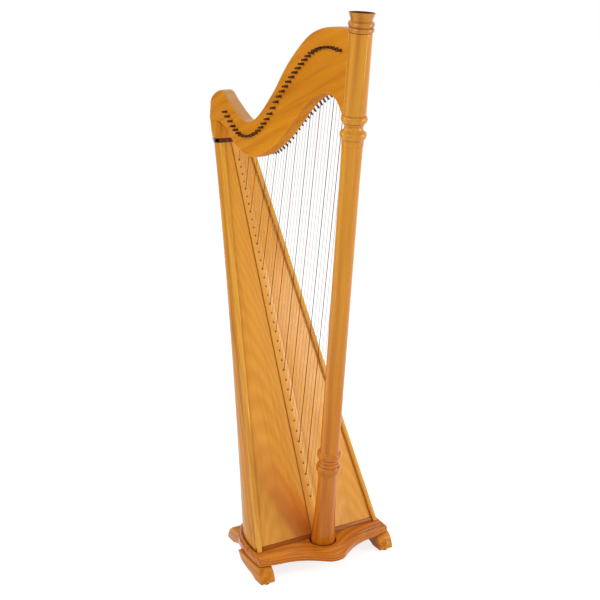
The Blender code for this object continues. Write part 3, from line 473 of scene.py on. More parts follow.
# The neck's upward faces get a painted sheen
NECK_WOOD = wood("neck wood", (0.72, 0.275, 0.013), (0.62, 0.212, 0.009), (0.40, 0.115, 0.004),
                 grain=(1, 0, 0.40), figure=24, contrast=0.22, fibre=0.34, specular=0.24,
                 painted_top_sheen=(0.48, 0.225, 0.070))
SHOULDER_WOOD = wood("shoulder wood", (0.70, 0.26, 0.012), (0.58, 0.185, 0.007), (0.36, 0.09, 0.003),
                     figure=18, contrast=0.4)
SHELL_WOOD = wood("shell wood", (0.66, 0.272, 0.019), (0.55, 0.188, 0.010), (0.31, 0.09, 0.005),
                  grain=BOARD_UP, figure=38, contrast=0.32, fibre=0.42, specular=0.10, gloss=0.0)
# Painted sheen: the soundboard's colour is paler low down
BOARD_WOOD = wood("soundboard wood", (0.73, 0.325, 0.040), (0.66, 0.265, 0.029), (0.47, 0.155, 0.011),
                  figure=34, contrast=0.28, fibre=0.24, specular=0.24, gloss=0.02,
                  sheen=(1.0, 0.85, 0.62), seam=0.30, low_tint=(1.04, 1.08, 1.4),
                  # Painted shadow and reflection of the pillar beside its foot
                  pattern=board_coordinates, painted_shade=pillar_shadow_patch)
TRIM_WOOD = wood("trim wood", (0.75, 0.370, 0.044), (0.65, 0.275, 0.024), (0.42, 0.15, 0.010),
                 grain=BOARD_UP, figure=30, contrast=0.4, fibre=0.34, specular=0.25, gloss=0.20)
STRIP_WOOD = wood("strip wood", (0.78, 0.37, 0.070), (0.68, 0.28, 0.042), (0.46, 0.16, 0.014),
                  grain=BOARD_UP, figure=40, contrast=0.3, fibre=0.22, specular=0.40)
BASE_WOOD = wood("base wood", (0.60, 0.190, 0.015), (0.46, 0.118, 0.007), (0.20, 0.037, 0.002),
                 figure=70, contrast=0.55, fibre=0.42, specular=0.18, gloss=0.15, pattern=base_coordinates)
FOOT_WOOD = wood("foot wood", (0.60, 0.215, 0.012), (0.49, 0.145, 0.007), (0.27, 0.068, 0.003),
                 grain=(1, 0, 0), figure=30, contrast=0.45, fibre=0.32, specular=0.15, gloss=0.15)
BATTEN_WOOD = wood("batten wood", (0.40, 0.105, 0.007), (0.31, 0.068, 0.004), (0.17, 0.030, 0.002),
                   grain=(0, 1, 0), figure=34, fibre=0.40, specular=0.25)
COLLAR_METAL = handled("dark bronze", (0.080, 0.026, 0.012), (0.22, 0.12, 0.07), 0.10, 0.3, metallic=1.0)
PIN_METAL = handled("pin steel", (0.15, 0.078, 0.052), (0.03, 0.014, 0.008), 0.14, 0.7, metallic=1.0)
BRACKET_METAL = handled("bracket nickel", (0.45, 0.43, 0.40), (0.22, 0.19, 0.16), 0.25, metallic=1.0)
EYELET_METAL = handled("eyelet bronze", (0.09, 0.032, 0.012), (0.04, 0.014, 0.006), 0.40, 0.6, metallic=0.6)
GLIDE_RUBBER = handled("glide rubber", (0.010, 0.010, 0.010), (0.03, 0.03, 0.03), 0.55, 0.5, specular=0.2)
DARK_LINE = handled("dark inlay", (0.34, 0.095, 0.015), (0.22, 0.055, 0.008), 0.45, 0.5, specular=0.1)
# Colour of the painted contact shadow round the soundbox's foot
SEAT_SHADE = handled("painted seat shadow", (0.09, 0.018, 0.004), (0.05, 0.01, 0.002), 0.60, 0.5, specular=0.0)
# A near-black finish that paints shade on the cap's top
CAP_TOP_SHADE = handled("cap top stain", (0.07, 0.022, 0.008), (0.14, 0.05, 0.015), 0.70, 0.7, specular=0.0)
HOLE_SHADOW = handled("hole shadow", (0.012, 0.005, 0.003), (0.03, 0.012, 0.006), 0.80, 0.3, specular=0.0)
STRING_PALE = handled("pale string", (0.48, 0.36, 0.25), (0.40, 0.29, 0.19), 0.35, specular=0.2, alpha=0.38)
STRING_RED = handled("red string", (0.20, 0.012, 0.010), (0.14, 0.01, 0.01), 0.35, specular=0.2)
STRING_DARK = handled("dark string", (0.008, 0.014, 0.045), (0.01, 0.01, 0.02), 0.35, specular=0.2)
LEVER_GREY = handled("grey lever", (0.022, 0.020, 0.018), (0.09, 0.09, 0.09), 0.30, specular=0.25)
LEVER_RED = handled("red lever", (0.11, 0.008, 0.008), (0.20, 0.03, 0.03), 0.30, specular=0.25)
LEVER_BLACK = handled("black lever", (0.004, 0.004, 0.004), (0.02, 0.02, 0.02), 0.30, specular=0.25)


# Mesh tools

def closed_chain(bm, points):
    """A closed ring of edges through the points."""
    corners = [bm.verts.new(point) for point in points]
    return [bm.edges.new(pair) for pair in zip(corners, corners[1:] + corners[:1])]


def skin(rings, caps=True):
    """A surface bridged over rings of equally many points, with its ends closed."""
    bm = bmesh.new()
    loops = [closed_chain(bm, ring) for ring in rings]
    for lower, upper in zip(loops, loops[1:]):
        bmesh.ops.bridge_loops(bm, edges=lower + upper)
    if caps:
        bmesh.ops.contextual_create(bm, geom=loops[0])
        bmesh.ops.contextual_create(bm, geom=loops[-1])
    else:
        bmesh.ops.bridge_loops(bm, edges=loops[0] + loops[-1])
    bmesh.ops.recalc_face_normals(bm, faces=bm.faces)
    return bm


def side_plate(outline, low, high):
    """An outline in x and z, drawn out between two values of y."""
    return skin([[Vector((p[0], y, p[1])) for p in outline] for y in (low, high)])


def spun(bm, sides, merged):
    """A profile in x and z, turned about +Z to a closed solid."""
    bmesh.ops.spin(bm, geom=bm.verts[:] + bm.edges[:], cent=(0, 0, 0), axis=(0, 0, 1), dvec=(0, 0, 0),
                   angle=2 * math.pi, steps=sides, use_merge=True, use_duplicate=False)
    bmesh.ops.remove_doubles(bm, verts=bm.verts, dist=merged)
    bmesh.ops.recalc_face_normals(bm, faces=bm.faces)
    return bm


def turned(profile, sides):
    """A solid of revolution about +Z from (height, radius) pairs, low to high."""
    bm = bmesh.new()
    points = [(profile[0][0], 0.0), *profile, (profile[-1][0], 0.0)]
    chain = [bm.verts.new((radius, 0, height)) for height, radius in points]
    for pair in zip(chain, chain[1:]):
        bm.edges.new(pair)
    return spun(bm, sides, TOUCHING)


def rod(low, high, radius, sides):
    """A plain round rod about +Z between two heights."""
    return turned([(low, radius), (high, radius)], sides)


def soften(bm, edges, offset, segments=3):
    bmesh.ops.bevel(bm, geom=list(edges), offset=offset, affect="EDGES", segments=segments, profile=0.5,
                    material=-1)
    return bm


def rim_edges(bm, axis):
    """The edges of a plate's two faces, where the plate was drawn out along an axis."""
    return [e for e in bm.edges if abs(e.verts[0].co[axis] - e.verts[1].co[axis]) < TOUCHING]


def stand(bm, start, along):
    """Move a piece turned about +Z so that its axis starts at a point and runs along a direction."""
    turn = UPRIGHT.rotation_difference(Vector(along)).to_matrix().to_4x4()
    bmesh.ops.transform(bm, matrix=Matrix.Translation(start) @ turn, verts=bm.verts)
    return bm


def on_pillar(bm):
    """Move a piece turned about +Z onto the pillar's leaning axis."""
    return stand(bm, Vector((0, 0, BASE_TOP)), PILLAR_DIRECTION)


def to_mesh(bm, name):
    mesh = bpy.data.meshes.new(name)
    bm.to_mesh(mesh)
    bm.free()
    return mesh


def add_object(name, data):
    made = bpy.data.objects.new(name, data)
    bpy.context.scene.collection.objects.link(made)
    return made


def add_to(whole, part):
    mesh = to_mesh(part, "part")
    whole.from_mesh(mesh)
    bpy.data.meshes.remove(mesh)


def cut(bm, cutter):
    """What is left of one bmesh after another is taken out of it."""
    kept, taken = [add_object("cutting", to_mesh(part, "cutting")) for part in (bm, cutter)]
    step = kept.modifiers.new("cut", "BOOLEAN")
    step.operation = "DIFFERENCE"
    step.solver = "EXACT"
    step.object = taken
    bpy.context.view_layer.update()
    result = bmesh.new()
    result.from_object(kept, bpy.context.evaluated_depsgraph_get())
    for made in (kept, taken):
        mesh = made.data
        bpy.data.objects.remove(made)
        bpy.data.meshes.remove(mesh)
    return result


def finish_piece(name, bm, finish, body="harp", stands_for=(), smooth=30):
    """An object in the model's frame that rides on its body and takes a finish."""
    bmesh.ops.translate(bm, vec=SHIFT, verts=bm.verts)
    made = add_object(name, to_mesh(bm, name))
    made.data.materials.append(finish)
    made.data.shade_smooth()
    made.data.set_sharp_from_angle(angle=math.radians(smooth))
    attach(made, body)
    if stands_for:
        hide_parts(*stands_for)


# Base

def rounded(turn, roundness=ROUNDNESS):
    """Shares of the half width and of the depth on the D's outline, for a turn from -90 to 90 degrees."""
    power = 2 / roundness
    return math.copysign(abs(math.sin(turn)) ** power, turn), abs(math.cos(turn)) ** power


def turns(columns):
    return [math.pi * (i / columns - 0.5) for i in range(columns + 1)]


def base_outline(front, inset):
    """The waved front edge, the corners and the rounded back."""
    half = SHELL_HALF[0] + BASE_MARGIN - inset
    depth = SHELL_DEPTH[0] + BASE_MARGIN - inset
    left = smooth_curve([(x, share * (half - CORNER_SETBACK)) for x, share in front], 8)
    for turn in turns(96)[:48]:
        across, behind = rounded(-turn)
        left.append(Vector((BOARD_FOOT_X - depth * behind, half * across)))
    right = [Vector((point.x, -point.y)) for point in reversed(left[1:])]
    return left + [Vector((BOARD_FOOT_X - depth, 0))] + right


def base_board():
    """The moulded base with a round socket for the pillar's foot."""
    fascia = base_outline(FASCIA_FRONT, 0.0)
    tier = base_outline(TIER_FRONT, TIER_INSET)
    rise = BASE_TOP - FASCIA_TOP
    levels = [(0.03, BASE_BOTTOM), (0.0, BASE_BOTTOM + 0.0015), (0.0, FASCIA_TOP - 0.002)]
    levels += [(0.10 * (1 - math.cos(a)), FASCIA_TOP - 0.002 + 0.002 * math.sin(a))
               for a in (math.radians(t) for t in (22, 45, 67, 90))]
    levels += [(0.36, FASCIA_TOP + 0.0004), (0.40, FASCIA_TOP + 0.0018)]
    levels += [(mix(0.42, 0.90, t), FASCIA_TOP + 0.0020 + (rise - 0.0036) * (1 - math.sqrt(1 - t * t)))
               for t in (0.2, 0.4, 0.6, 0.75, 0.87, 0.95, 1.0)]
    levels += [(0.93, BASE_TOP - 0.0009), (0.96, BASE_TOP - 0.0003), (1.0, BASE_TOP)]
    rings = [[mix(a, b, share).to_3d() + Vector((0, 0, z)) for a, b in zip(fascia, tier)]
             for share, z in levels]
    radius = FOOT_RADIUS + SOCKET_CLEARANCE
    socket = turned([(BASE_TOP - SOCKET_DEPTH, radius), (BASE_TOP - SOCKET_EDGE, radius),
                     (BASE_TOP, radius + SOCKET_EDGE), (BASE_TOP + 0.01, radius + SOCKET_EDGE)], 72)
    finish_piece("moulded_base", cut(skin(rings), socket), BASE_WOOD,
                 stands_for=["base_board"], smooth=28)


def foot_outline(toe, length, way):
    """Side view of a bracket foot with its toe at x = toe, reaching back against the way it points."""
    sweep = smooth_curve([(back, FOOT_HEIGHT * share) for back, share in
                          ((0.000, 0.04), (0.004, 0.37), (0.012, 0.70), (0.027, 1.0))], 8)
    sole = smooth_curve([(length * reach, FOOT_HEIGHT * share) for reach, share in
                         ((1.0, 1.0), (0.86, 0.50), (0.62, 0.27), (0.42, 0.18), (0.27, 0.0))], 8)
    outline = [(FOOT_HEEL * 0.22, 0.0), *sweep, *sole]
    return [(toe - way * back, FOOT_BOTTOM + height) for back, height in outline]


def feet():
    """Four bracket feet and the glide under each."""
    for end, (toe, length, side), way in (("front", FRONT_FOOT, 1), ("rear", REAR_FOOT, -1)):
        for name, hand in ((end + "_right", -1), (end + "_left", 1)):
            low, high = sorted((hand * side, hand * (side - FOOT_WIDTH)))
            bm = side_plate(foot_outline(toe, length, way), low, high)
            soften(bm, rim_edges(bm, 1), FOOT_EDGE)
            finish_piece("bracket_foot_" + name, bm, FOOT_WOOD, stands_for=["foot_" + name])
            glide = turned([(0.0, GLIDE_RADIUS - 0.001), (0.0004, GLIDE_RADIUS - 0.0003),
                            (0.0010, GLIDE_RADIUS), (GLIDE_HEIGHT, GLIDE_RADIUS)], 32)
            stand(glide, Vector((toe - way * FOOT_HEEL, (low + high) / 2, 0)), UPRIGHT)
            finish_piece("round_glide_" + name, glide, GLIDE_RUBBER,
                         stands_for=["glide_" + name])


# Pillar

def arc(start, end, bulge, steps=14):
    """A half-round of a turned profile between two (height, radius) pairs."""
    made = []
    for i in range(steps + 1):
        angle = math.pi * i / steps
        share = (1 - math.cos(angle)) / 2
        made.append((mix(start[0], end[0], share), mix(start[1], end[1], share) + bulge * math.sin(angle)))
    return made


def about(middle, *places):
    """Profile points about the middle of two beads: spreads and half beads away from it, and radius."""
    return [(middle + spreads * BEAD_SPREAD + halves * BEAD_HALF, radius)
            for spreads, halves, radius in places]


def lower_turning(fillet, swell):
    """The two beads low on the pillar, with a groove between two hollows."""
    low, cove, groove = LOWER_TURNING, fillet - 0.0005, GROOVE_RADIUS + 0.002
    profile = about(low, (-1, -1.9, fillet - 0.0006), (-1, -1.8, fillet), (-1, -1.15, fillet))
    profile += arc(*about(low, (-1, -1, fillet), (-1, 1, fillet)), swell)
    profile += arc(*about(low, (-1, 1.1, cove), (0, -0.30, fillet - 0.0012)), 0.0012, 6)
    profile += arc(*about(low, (0, -0.25, groove), (0, 0.25, groove)), -0.001, 6)
    profile += arc(*about(low, (0, 0.30, fillet - 0.0012), (1, -1.1, cove)), 0.0012, 6)
    profile += arc(*about(low, (1, -1, fillet), (1, 1, fillet)), swell)
    return profile + about(low, (1, 1.15, fillet - 0.0010), (1, 1.5, SHAFT_RADIUS))


def upper_turning(swell):
    """The two beads high on the pillar, with a flare down to a groove between them."""
    high, neck = UPPER_TURNING, HEAD_RADIUS - 0.0013
    profile = about(high, (-1, -2.9, mix(SHAFT_RADIUS, HEAD_RADIUS, 0.3)), (-1, -2.7, neck - 0.0012),
                    (-1, -2.6, neck), (-1, -1.25, neck), (-1, -1.15, neck + 0.0008))
    profile += arc(*about(high, (-1, -1, neck), (-1, 1, neck + 0.002)), swell - 0.0012)
    start, end = about(high, (-1, 1.1, neck + 0.0016), (0, -0.55, GROOVE_RADIUS))
    for t in (0.0, 0.25, 0.5, 0.75, 1.0):
        profile.append((mix(start[0], end[0], t), mix(start[1], end[1], t ** 0.6)))
    profile += about(high, (0, 0.35, GROOVE_RADIUS - 0.0002), (0, 0.40, GROOVE_RADIUS + 0.0012))
    profile += arc(*about(high, (0, 0.45, GROOVE_RADIUS + 0.0014), (0, 0.95, GROOVE_RADIUS + 0.0020)),
                   0.0010, 6)
    profile += arc(*about(high, (0.9, -1, neck - 0.001), (0.9, 1, neck)), swell)
    return profile + about(high, (1, 1.2, HEAD_RADIUS))


def pillar_profile():
    """Turned outline of the pillar: distance along its axis from the base's top, and radius."""
    fillet = SHAFT_RADIUS + 0.0026
    swell = BEAD_RADIUS - fillet
    profile = [(-SOCKET_DEPTH + GAP, FOOT_RADIUS), (0.010, FOOT_RADIUS)]
    taper_end = LOWER_TURNING - 2.1 * BEAD_HALF - BEAD_SPREAD
    profile += [(mix(0.01, taper_end, i / 10), mix(FOOT_RADIUS, SHAFT_RADIUS, 1 - (1 - i / 10) ** 1.6))
                for i in range(1, 11)]
    profile += lower_turning(fillet, swell)
    profile += [(LOWER_TURNING + 0.35, SHAFT_RADIUS), (UPPER_TURNING - 0.14, SHAFT_RADIUS)]
    return profile + upper_turning(swell) + [(CAP_FOOT - GAP, HEAD_RADIUS)]


def pillar():
    bm = on_pillar(turned(pillar_profile(), 96))
    level = BASE_TOP - SOCKET_DEPTH + GAP
    geometry = bm.verts[:] + bm.edges[:] + bm.faces[:]
    kept = bmesh.ops.bisect_plane(bm, geom=geometry, plane_co=(0, 0, level), plane_no=(0, 0, -1),
                                  clear_outer=True)
    rim = [item for item in kept["geom_cut"] if isinstance(item, bmesh.types.BMEdge)]
    if rim:
        bmesh.ops.contextual_create(bm, geom=rim)
    finish_piece("turned_pillar", bm, PILLAR_WOOD, stands_for=["pillar"], smooth=40)


def level_top(bm):
    """Tilt a cap's top back, so that it stays nearly level on the leaning pillar."""
    for vert in bm.verts:
        share = max(0.0, (vert.co.z - CAP_THROAT) / (PILLAR_LENGTH - CAP_THROAT))
        ahead = vert.co.x * CAP_LEVEL[0] + vert.co.y * CAP_LEVEL[1]
        vert.co.z += share * CAP_TILT * ahead
    return on_pillar(bm)


def pillar_cap():
    """Two beads under a flared, flat-topped rim."""
    inner = HEAD_RADIUS - 0.0008
    profile = arc((CAP_FOOT + 0.0006, inner), (CAP_FOOT + 0.0130, inner), CAP_RIM_RADIUS - inner)
    profile += arc((CAP_FOOT + 0.0139, inner), (CAP_FOOT + 0.0265, inner - 0.0008),
                   CAP_RIM_RADIUS + 0.0005 - inner)
    flare = PILLAR_LENGTH - CAP_THROAT
    for i in range(15):
        share = i / 14
        profile.append((CAP_THROAT + flare * share * 0.90,
                        mix(CAP_THROAT_RADIUS, CAP_RIM_RADIUS - 0.0003, share ** 1.25)))
    profile += [(PILLAR_LENGTH - 0.0006, CAP_RIM_RADIUS), (PILLAR_LENGTH, CAP_RIM_RADIUS - 0.0006)]
    finish_piece("turned_cap", level_top(turned(profile, 96)), CAP_WOOD,
                 stands_for=["pillar_cap"], smooth=40)
    # Painted shade: a thin dark disc laid over the cap's top
    painted_shade = turned([(PILLAR_LENGTH - 0.0005, CAP_RIM_RADIUS - 0.0016),
                    (PILLAR_LENGTH + 0.0001, CAP_RIM_RADIUS - 0.0016),
                    (PILLAR_LENGTH + 0.0002, CAP_RIM_RADIUS - 0.0019)], 72)
    finish_piece("cap_top_shade_disc", level_top(painted_shade), CAP_TOP_SHADE)


# Soundbox

def on_board(rise, side, out):
    """A point given by its height up the board's slope, its place across and its distance in front."""
    point = BOARD_FOOT + BOARD_UP * rise + BOARD_OUT * out
    point.y = side
    return point


def slope_at(z, out):
    return (z - BASE_TOP - out * math.sin(BOARD_LEAN)) / math.cos(BOARD_LEAN)


def board_x(z, out=0.0):
    return BOARD_FOOT_X + out / math.cos(BOARD_LEAN) - (z - BASE_TOP) * math.tan(BOARD_LEAN)


COLLAR_Z = BASE_TOP + SOUNDBOX_RISE
COLLAR_X = board_x(COLLAR_Z)


def collar_z(x):
    """Height of the tilted joint between soundbox and shoulder."""
    return COLLAR_Z + (x - COLLAR_X) * math.tan(COLLAR_TILT)


def slope_under_collar(out):
    """How far up the slope a piece of the board reaches, found in a few rounds."""
    rise = 0.0
    for _ in range(6):
        point = on_board(rise, 0, out)
        rise += collar_z(point.x) - point.z
    return rise - GAP


def shell_half(z):
    return mix(*SHELL_HALF, (z - BASE_TOP) / SOUNDBOX_RISE)


def shell_depth(z):
    left = max(0.0, 1 - (z - BASE_TOP) / SOUNDBOX_RISE)
    return mix(SHELL_DEPTH[1], SHELL_DEPTH[0], left ** SHELL_TAPER_POWER)


def shell_point(level, turn, inset):
    """A point of the shell: level 0 on the base, 1 at the collar, and inset from its outer face."""
    foot = BASE_TOP + GAP
    z = mix(foot, COLLAR_Z, level)
    across, back = rounded(turn)
    for _ in range(4):
        x = board_x(z, SHELL_FACE) - (shell_depth(z) + SHELL_FACE - inset) * back
        z = mix(foot, collar_z(x) - GAP, level)
    return Vector((x, (shell_half(z) - inset) * across, z))


def soundbox_shell():
    """The rounded back, open at the front, with oval sound holes in its rear."""
    rings = []
    rows = [(0.0, 0.0020), (0.0006, 0.0009), (0.0014, 0.0003), (0.0024, 0.0)]
    rows += [(row / 36, 0.0) for row in range(1, 37)]
    for level, inset in rows:
        outside = [shell_point(level, turn, inset) for turn in turns(72)]
        inside = [shell_point(level, turn, SHELL_WALL) for turn in reversed(turns(72))]
        rings.append(outside + inside)
    holes = bmesh.new()
    for level, radius in SOUND_HOLES:
        hole = rod(-0.03, 0.03, radius, 64)
        bmesh.ops.scale(hole, vec=(1, SOUND_HOLE_ASPECT, 1), verts=hole.verts)
        add_to(holes, stand(hole, shell_point(level, 0, 0), (1, 0, 0)))
    finish_piece("rounded_shell", cut(skin(rings), holes), SHELL_WOOD,
                 stands_for=["soundbox_shell"], smooth=28)


def seat_shadow():
    """A painted contact shadow: a dark band on the base round the foot of the soundbox."""
    rings = []
    low, high, outer, inner = BASE_TOP - 0.0002, BASE_TOP + 0.0003, 0.0012, -0.003
    for z, grow in ((low, outer), (high, outer), (high, inner), (low, inner)):
        ring = [shell_point(0.0, turn, -grow) for turn in turns(72)]
        for point in ring:
            point.z = z
        for end in (ring[0], ring[-1]):
            end.x += grow
        rings.append(ring)
    finish_piece("soundbox_seat_shadow", skin(rings, caps=False), SEAT_SHADE)


def sloped_ring(out, low_sides, high_sides):
    """Four corners on the board's slope, from the batten up to the collar."""
    start, end = slope_at(BOARD_BOTTOM, out), slope_under_collar(out)
    low = [on_board(start, side, out) for side in low_sides]
    return low + [on_board(end, side, out) for side in high_sides]


def board_plate(halves, low, high, edge):
    """A tapered plate on the board's slope."""
    sides = (-halves[0], halves[0]), (halves[1], -halves[1])
    bm = skin([sloped_ring(out, *sides) for out in (low, high)])
    return soften(bm, bm.edges[:], edge, 2)


def soundboard():
    bm = board_plate((shell_half(BOARD_BOTTOM), shell_half(COLLAR_Z)), -BOARD_THICKNESS, 0.0, BOARD_EDGE)
    finish_piece("flat_soundboard", bm, BOARD_WOOD, stands_for=["soundboard"])


def center_strip():
    """The tapered strip that the strings pass through, with a dark line along each side."""
    bm = board_plate(STRIP_HALF, GAP, STRIP_FACE, STRIP_EDGE)
    finish_piece("string_strip", bm, STRIP_WOOD, stands_for=["center_strip"])
    lines = bmesh.new()
    for side in (-1, 1):
        low_sides = [side * (STRIP_HALF[0] + reach) for reach in LINE_REACH]
        high_sides = [side * (STRIP_HALF[1] + reach) for reach in reversed(LINE_REACH)]
        add_to(lines, skin([sloped_ring(out, low_sides, high_sides) for out in (0.0, LINE_HEIGHT)]))
    finish_piece("strip_lines", lines, DARK_LINE)


def edge_trim(name, side):
    """The raised, rounded strip along one edge of the soundboard."""
    rings = []
    face = GAP + TRIM_THICKNESS
    inner = TRIM_SETBACK + TRIM_WIDTH
    for top in (False, True):
        ring = []
        for inset, out in ((TRIM_SETBACK, GAP), (inner, GAP), (inner, face), (TRIM_SETBACK, face)):
            rise = slope_under_collar(out) if top else slope_at(BASE_TOP + GAP, out)
            z = on_board(rise, 0, out).z
            ring.append(on_board(rise, side * (shell_half(z) - inset), out))
        rings.append(ring)
    bm = skin(rings)
    front = [e for e in bm.edges
             if all(abs((v.co - BOARD_FOOT).dot(BOARD_OUT) - face) < TOUCHING for v in e.verts)]
    ends = [e for e in bm.edges if all(abs(v.co.z - BASE_TOP - GAP) < 0.0001 for v in e.verts)]
    soften(bm, set(front + ends), TRIM_EDGE, 4)
    finish_piece("raised_trim_" + name, bm, TRIM_WOOD, stands_for=["edge_trim_" + name])


def batten():
    """The low bar on the base under the soundboard."""
    low, high = BASE_TOP + GAP, BOARD_BOTTOM - GAP
    ahead, behind = BATTEN_REACH
    corners = ((low, ahead), (high, ahead), (high, behind), (low, behind))
    outline = [(board_x(z, out), z) for z, out in corners]
    half = shell_half(high) - TRIM_WIDTH - 0.001
    bm = side_plate(outline, -half, half)
    foot = on_pillar(rod(-0.01, 0.02, FOOT_RADIUS + 0.0006, 72))
    finish_piece("foot_batten", cut(soften(bm, bm.edges[:], BATTEN_EDGE, 2), foot), BATTEN_WOOD,
                 stands_for=["base_batten"])


# Shoulder and collar

def shoulder_ring(share, grow):
    """An outline of the shoulder block: share 0 on the tilted joint, 1 at its flat top."""
    half = mix(SHELL_HALF[1], SHOULDER_HALF_TOP, share) + grow
    depth = SHELL_DEPTH[1] + SHOULDER_SWELL * share
    ring = []
    for turn in turns(64):
        across, back = rounded(turn, mix(ROUNDNESS, SHOULDER_ROUNDNESS_TOP, share))
        x = COLLAR_X + grow - (depth + 2 * grow) * back
        ring.append(Vector((x, half * across, mix(collar_z(x), SHOULDER_TOP, share))))
    return ring


def shoulder_block():
    rows = ((0.0, 0.0), (0.25, 0.0), (0.5, 0.0), (0.75, 0.0), (0.90, 0.0), (0.94, -0.0003),
            (0.97, -0.0012), (0.99, -0.0025), (1.0, -0.004))
    rings = [shoulder_ring(*row) for row in rows]
    space = side_plate(neck_outline(5), NECK_NEAR_Y - SEAT_REACH, NECK_FAR_Y)
    finish_piece("rounded_shoulder", cut(skin(rings), space), SHOULDER_WOOD,
                 stands_for=["shoulder_block"], smooth=35)


def collar_band():
    """The metal band round the foot of the shoulder block, with rounded rims."""
    top = COLLAR_HEIGHT / (SHOULDER_TOP - COLLAR_Z)
    outer = GAP + COLLAR_THICKNESS
    hollow = outer - 0.0004
    rings = [shoulder_ring(height * top, grow) for height, grow in
             ((0.0, GAP), (0.0, outer - 0.0005), (0.02, outer), (0.10, outer), (0.16, hollow), (0.84, hollow),
              (0.90, outer), (0.98, outer), (1.0, outer - 0.0005), (1.0, GAP))]
    rings[:2] = [[point + Vector((0, 0, GAP)) for point in ring] for ring in rings[:2]]
    finish_piece("metal_collar", skin(rings, caps=False), COLLAR_METAL,
                 stands_for=["collar_band"])


# Neck, pins and strings

def pillar_axis(z):
    return PILLAR_DIRECTION * ((z - BASE_TOP) / PILLAR_DIRECTION.z) + Vector((0, 0, BASE_TOP))


def neck_place(share, height):
    """A place along the neck in x and z."""
    end = pillar_axis(BASE_TOP + PILLAR_RISE - NECK_END_DROP)
    return Vector((mix(NECK_TAIL.x, end.x, share), mix(NECK_TAIL.y, end.z, share) + height))


def neck_outline(steps):
    """The neck's side view: its top edge to the pillar, down inside it, and its lower edge back."""
    top = [neck_place(*point) for point in smooth_curve(NECK_TOP, steps)]
    low = [neck_place(*point) for point in smooth_curve(NECK_LOW, steps)]
    upper_end = Vector((pillar_axis(top[-1].y).x, top[-1].y))
    lower_end = Vector((pillar_axis(low[-1].y).x, low[-1].y - 0.006))
    return top + [upper_end, lower_end] + low[::-1]


def neck_board():
    """The neck's board with well rounded edges, its end let into the pillar."""
    bm = side_plate(neck_outline(7), NECK_NEAR_Y, NECK_FAR_Y)
    seat_x, seat_z = COLLAR_X - 0.01, SHOULDER_TOP + 0.006
    rim = [e for e in rim_edges(bm, 1) if not all(v.co.x < seat_x and v.co.z < seat_z for v in e.verts)]
    soften(bm, rim, NECK_EDGE, 4)
    bore = rod(UPPER_TURNING - 0.1, PILLAR_LENGTH + 0.02, HEAD_RADIUS - 0.002, 64)
    finish_piece("neck_board", cut(bm, on_pillar(bore)), NECK_WOOD, stands_for=["neck"])


def string_share(number):
    return (number - 1) / (STRING_COUNT - 1)


def string_radius(number):
    return mix(*STRING_RADIUS, string_share(number))


def eyelet(number):
    """Where a string meets the soundboard's face."""
    share = string_share(number)
    share = share * (1 + EYELET_CROWDING) - EYELET_CROWDING * share ** 2
    return on_board(slope_at(BASE_TOP + mix(*EYELET_RISE, share), 0), 0, 0)


def tuning_pin(number):
    """The centre of a tuning pin in the plane of the strings."""
    share = string_share(number)
    share = share * (1 - PIN_SPREAD) + PIN_SPREAD * share ** 2
    along = mix(FIRST_PIN, LAST_PIN, share)
    row = smooth_curve(PIN_ROW, 6)[::-1]
    height = float(np.interp(along, [p.x for p in row], [p.y for p in row]))
    place = neck_place(along, height)
    return Vector((place.x, 0, place.y))


def string_line(number):
    """A string's lower end over the centre strip, its upper end beside its pin, and its direction."""
    radius = string_radius(number)
    start = eyelet(number) + BOARD_OUT * (STRIP_FACE + 2 * radius)
    pin = tuning_pin(number)
    lean = (pin - start).normalized()
    end = pin - Vector((lean.z, 0, -lean.x)) * (PIN_RADIUS + radius + GAP)
    return start, end, (end - start).normalized()


def string_finish(number):
    """Red for every C and dark blue for every F, counted from the lowest A."""
    return {2: STRING_RED, 5: STRING_DARK}.get((number - 1) % 7, STRING_PALE)


def winding(number):
    """Points of a string's turns round its pin, from where it meets the pin towards the neck."""
    radius = string_radius(number)
    end, along = string_line(number)[1:]
    pin = tuning_pin(number)
    beside = (end - pin).normalized()
    made = []
    for i in range(1, WINDING_TURNS * WINDING_STEPS + 1):
        angle = 2 * math.pi * i / WINDING_STEPS
        spoke = beside * math.cos(angle) + along * math.sin(angle)
        sideways = Vector((0, -WINDING_PITCH * radius * i / WINDING_STEPS, 0))
        made.append(pin + spoke * (PIN_RADIUS + radius) + sideways)
    return made


def string_piece(number):
    """A string from inside the soundbox through its eyelet, up to its pin and round it."""
    start, end, along = string_line(number)
    foot = eyelet(number) - BOARD_OUT * STRING_FOOT_DEPTH
    low = start - BOARD_OUT * 0.0012
    points = [foot, low, mix(low, start, 0.5), start + along * 0.0006, start + along * 0.0020,
              mix(start, end, 0.5), end, *winding(number)]
    line = bpy.data.curves.new("string line", "CURVE")
    line.dimensions = "3D"
    line.bevel_depth = string_radius(number)
    line.bevel_resolution = 2
    line.use_fill_caps = True
    spline = line.splines.new("POLY")
    spline.points.add(len(points) - 1)
    for target, point in zip(spline.points, points):
        target.co = (*point, 1.0)
    holder = add_object("string line", line)
    bpy.context.view_layer.update()
    mesh = bpy.data.meshes.new_from_object(holder.evaluated_get(bpy.context.evaluated_depsgraph_get()))
    bpy.data.objects.remove(holder)
    bm = bmesh.new()
    bm.from_mesh(mesh)
    bpy.data.meshes.remove(mesh)
    bmesh.ops.remove_doubles(bm, verts=bm.verts, dist=0.000005)
    finish_piece(f"string_{number:02d}", bm, string_finish(number),
                 stands_for=["strings"] if number == 1 else (), smooth=60)


def extrude_to(bm, faces, height):
    """Draw a flat cap up to a height."""
    made = bmesh.ops.extrude_face_region(bm, geom=faces)["geom"]
    bmesh.ops.delete(bm, geom=faces, context="FACES_ONLY")
    top = [item for item in made if isinstance(item, bmesh.types.BMFace)]
    for vert in {v for face in top for v in face.verts}:
        vert.co.z = height
    return top


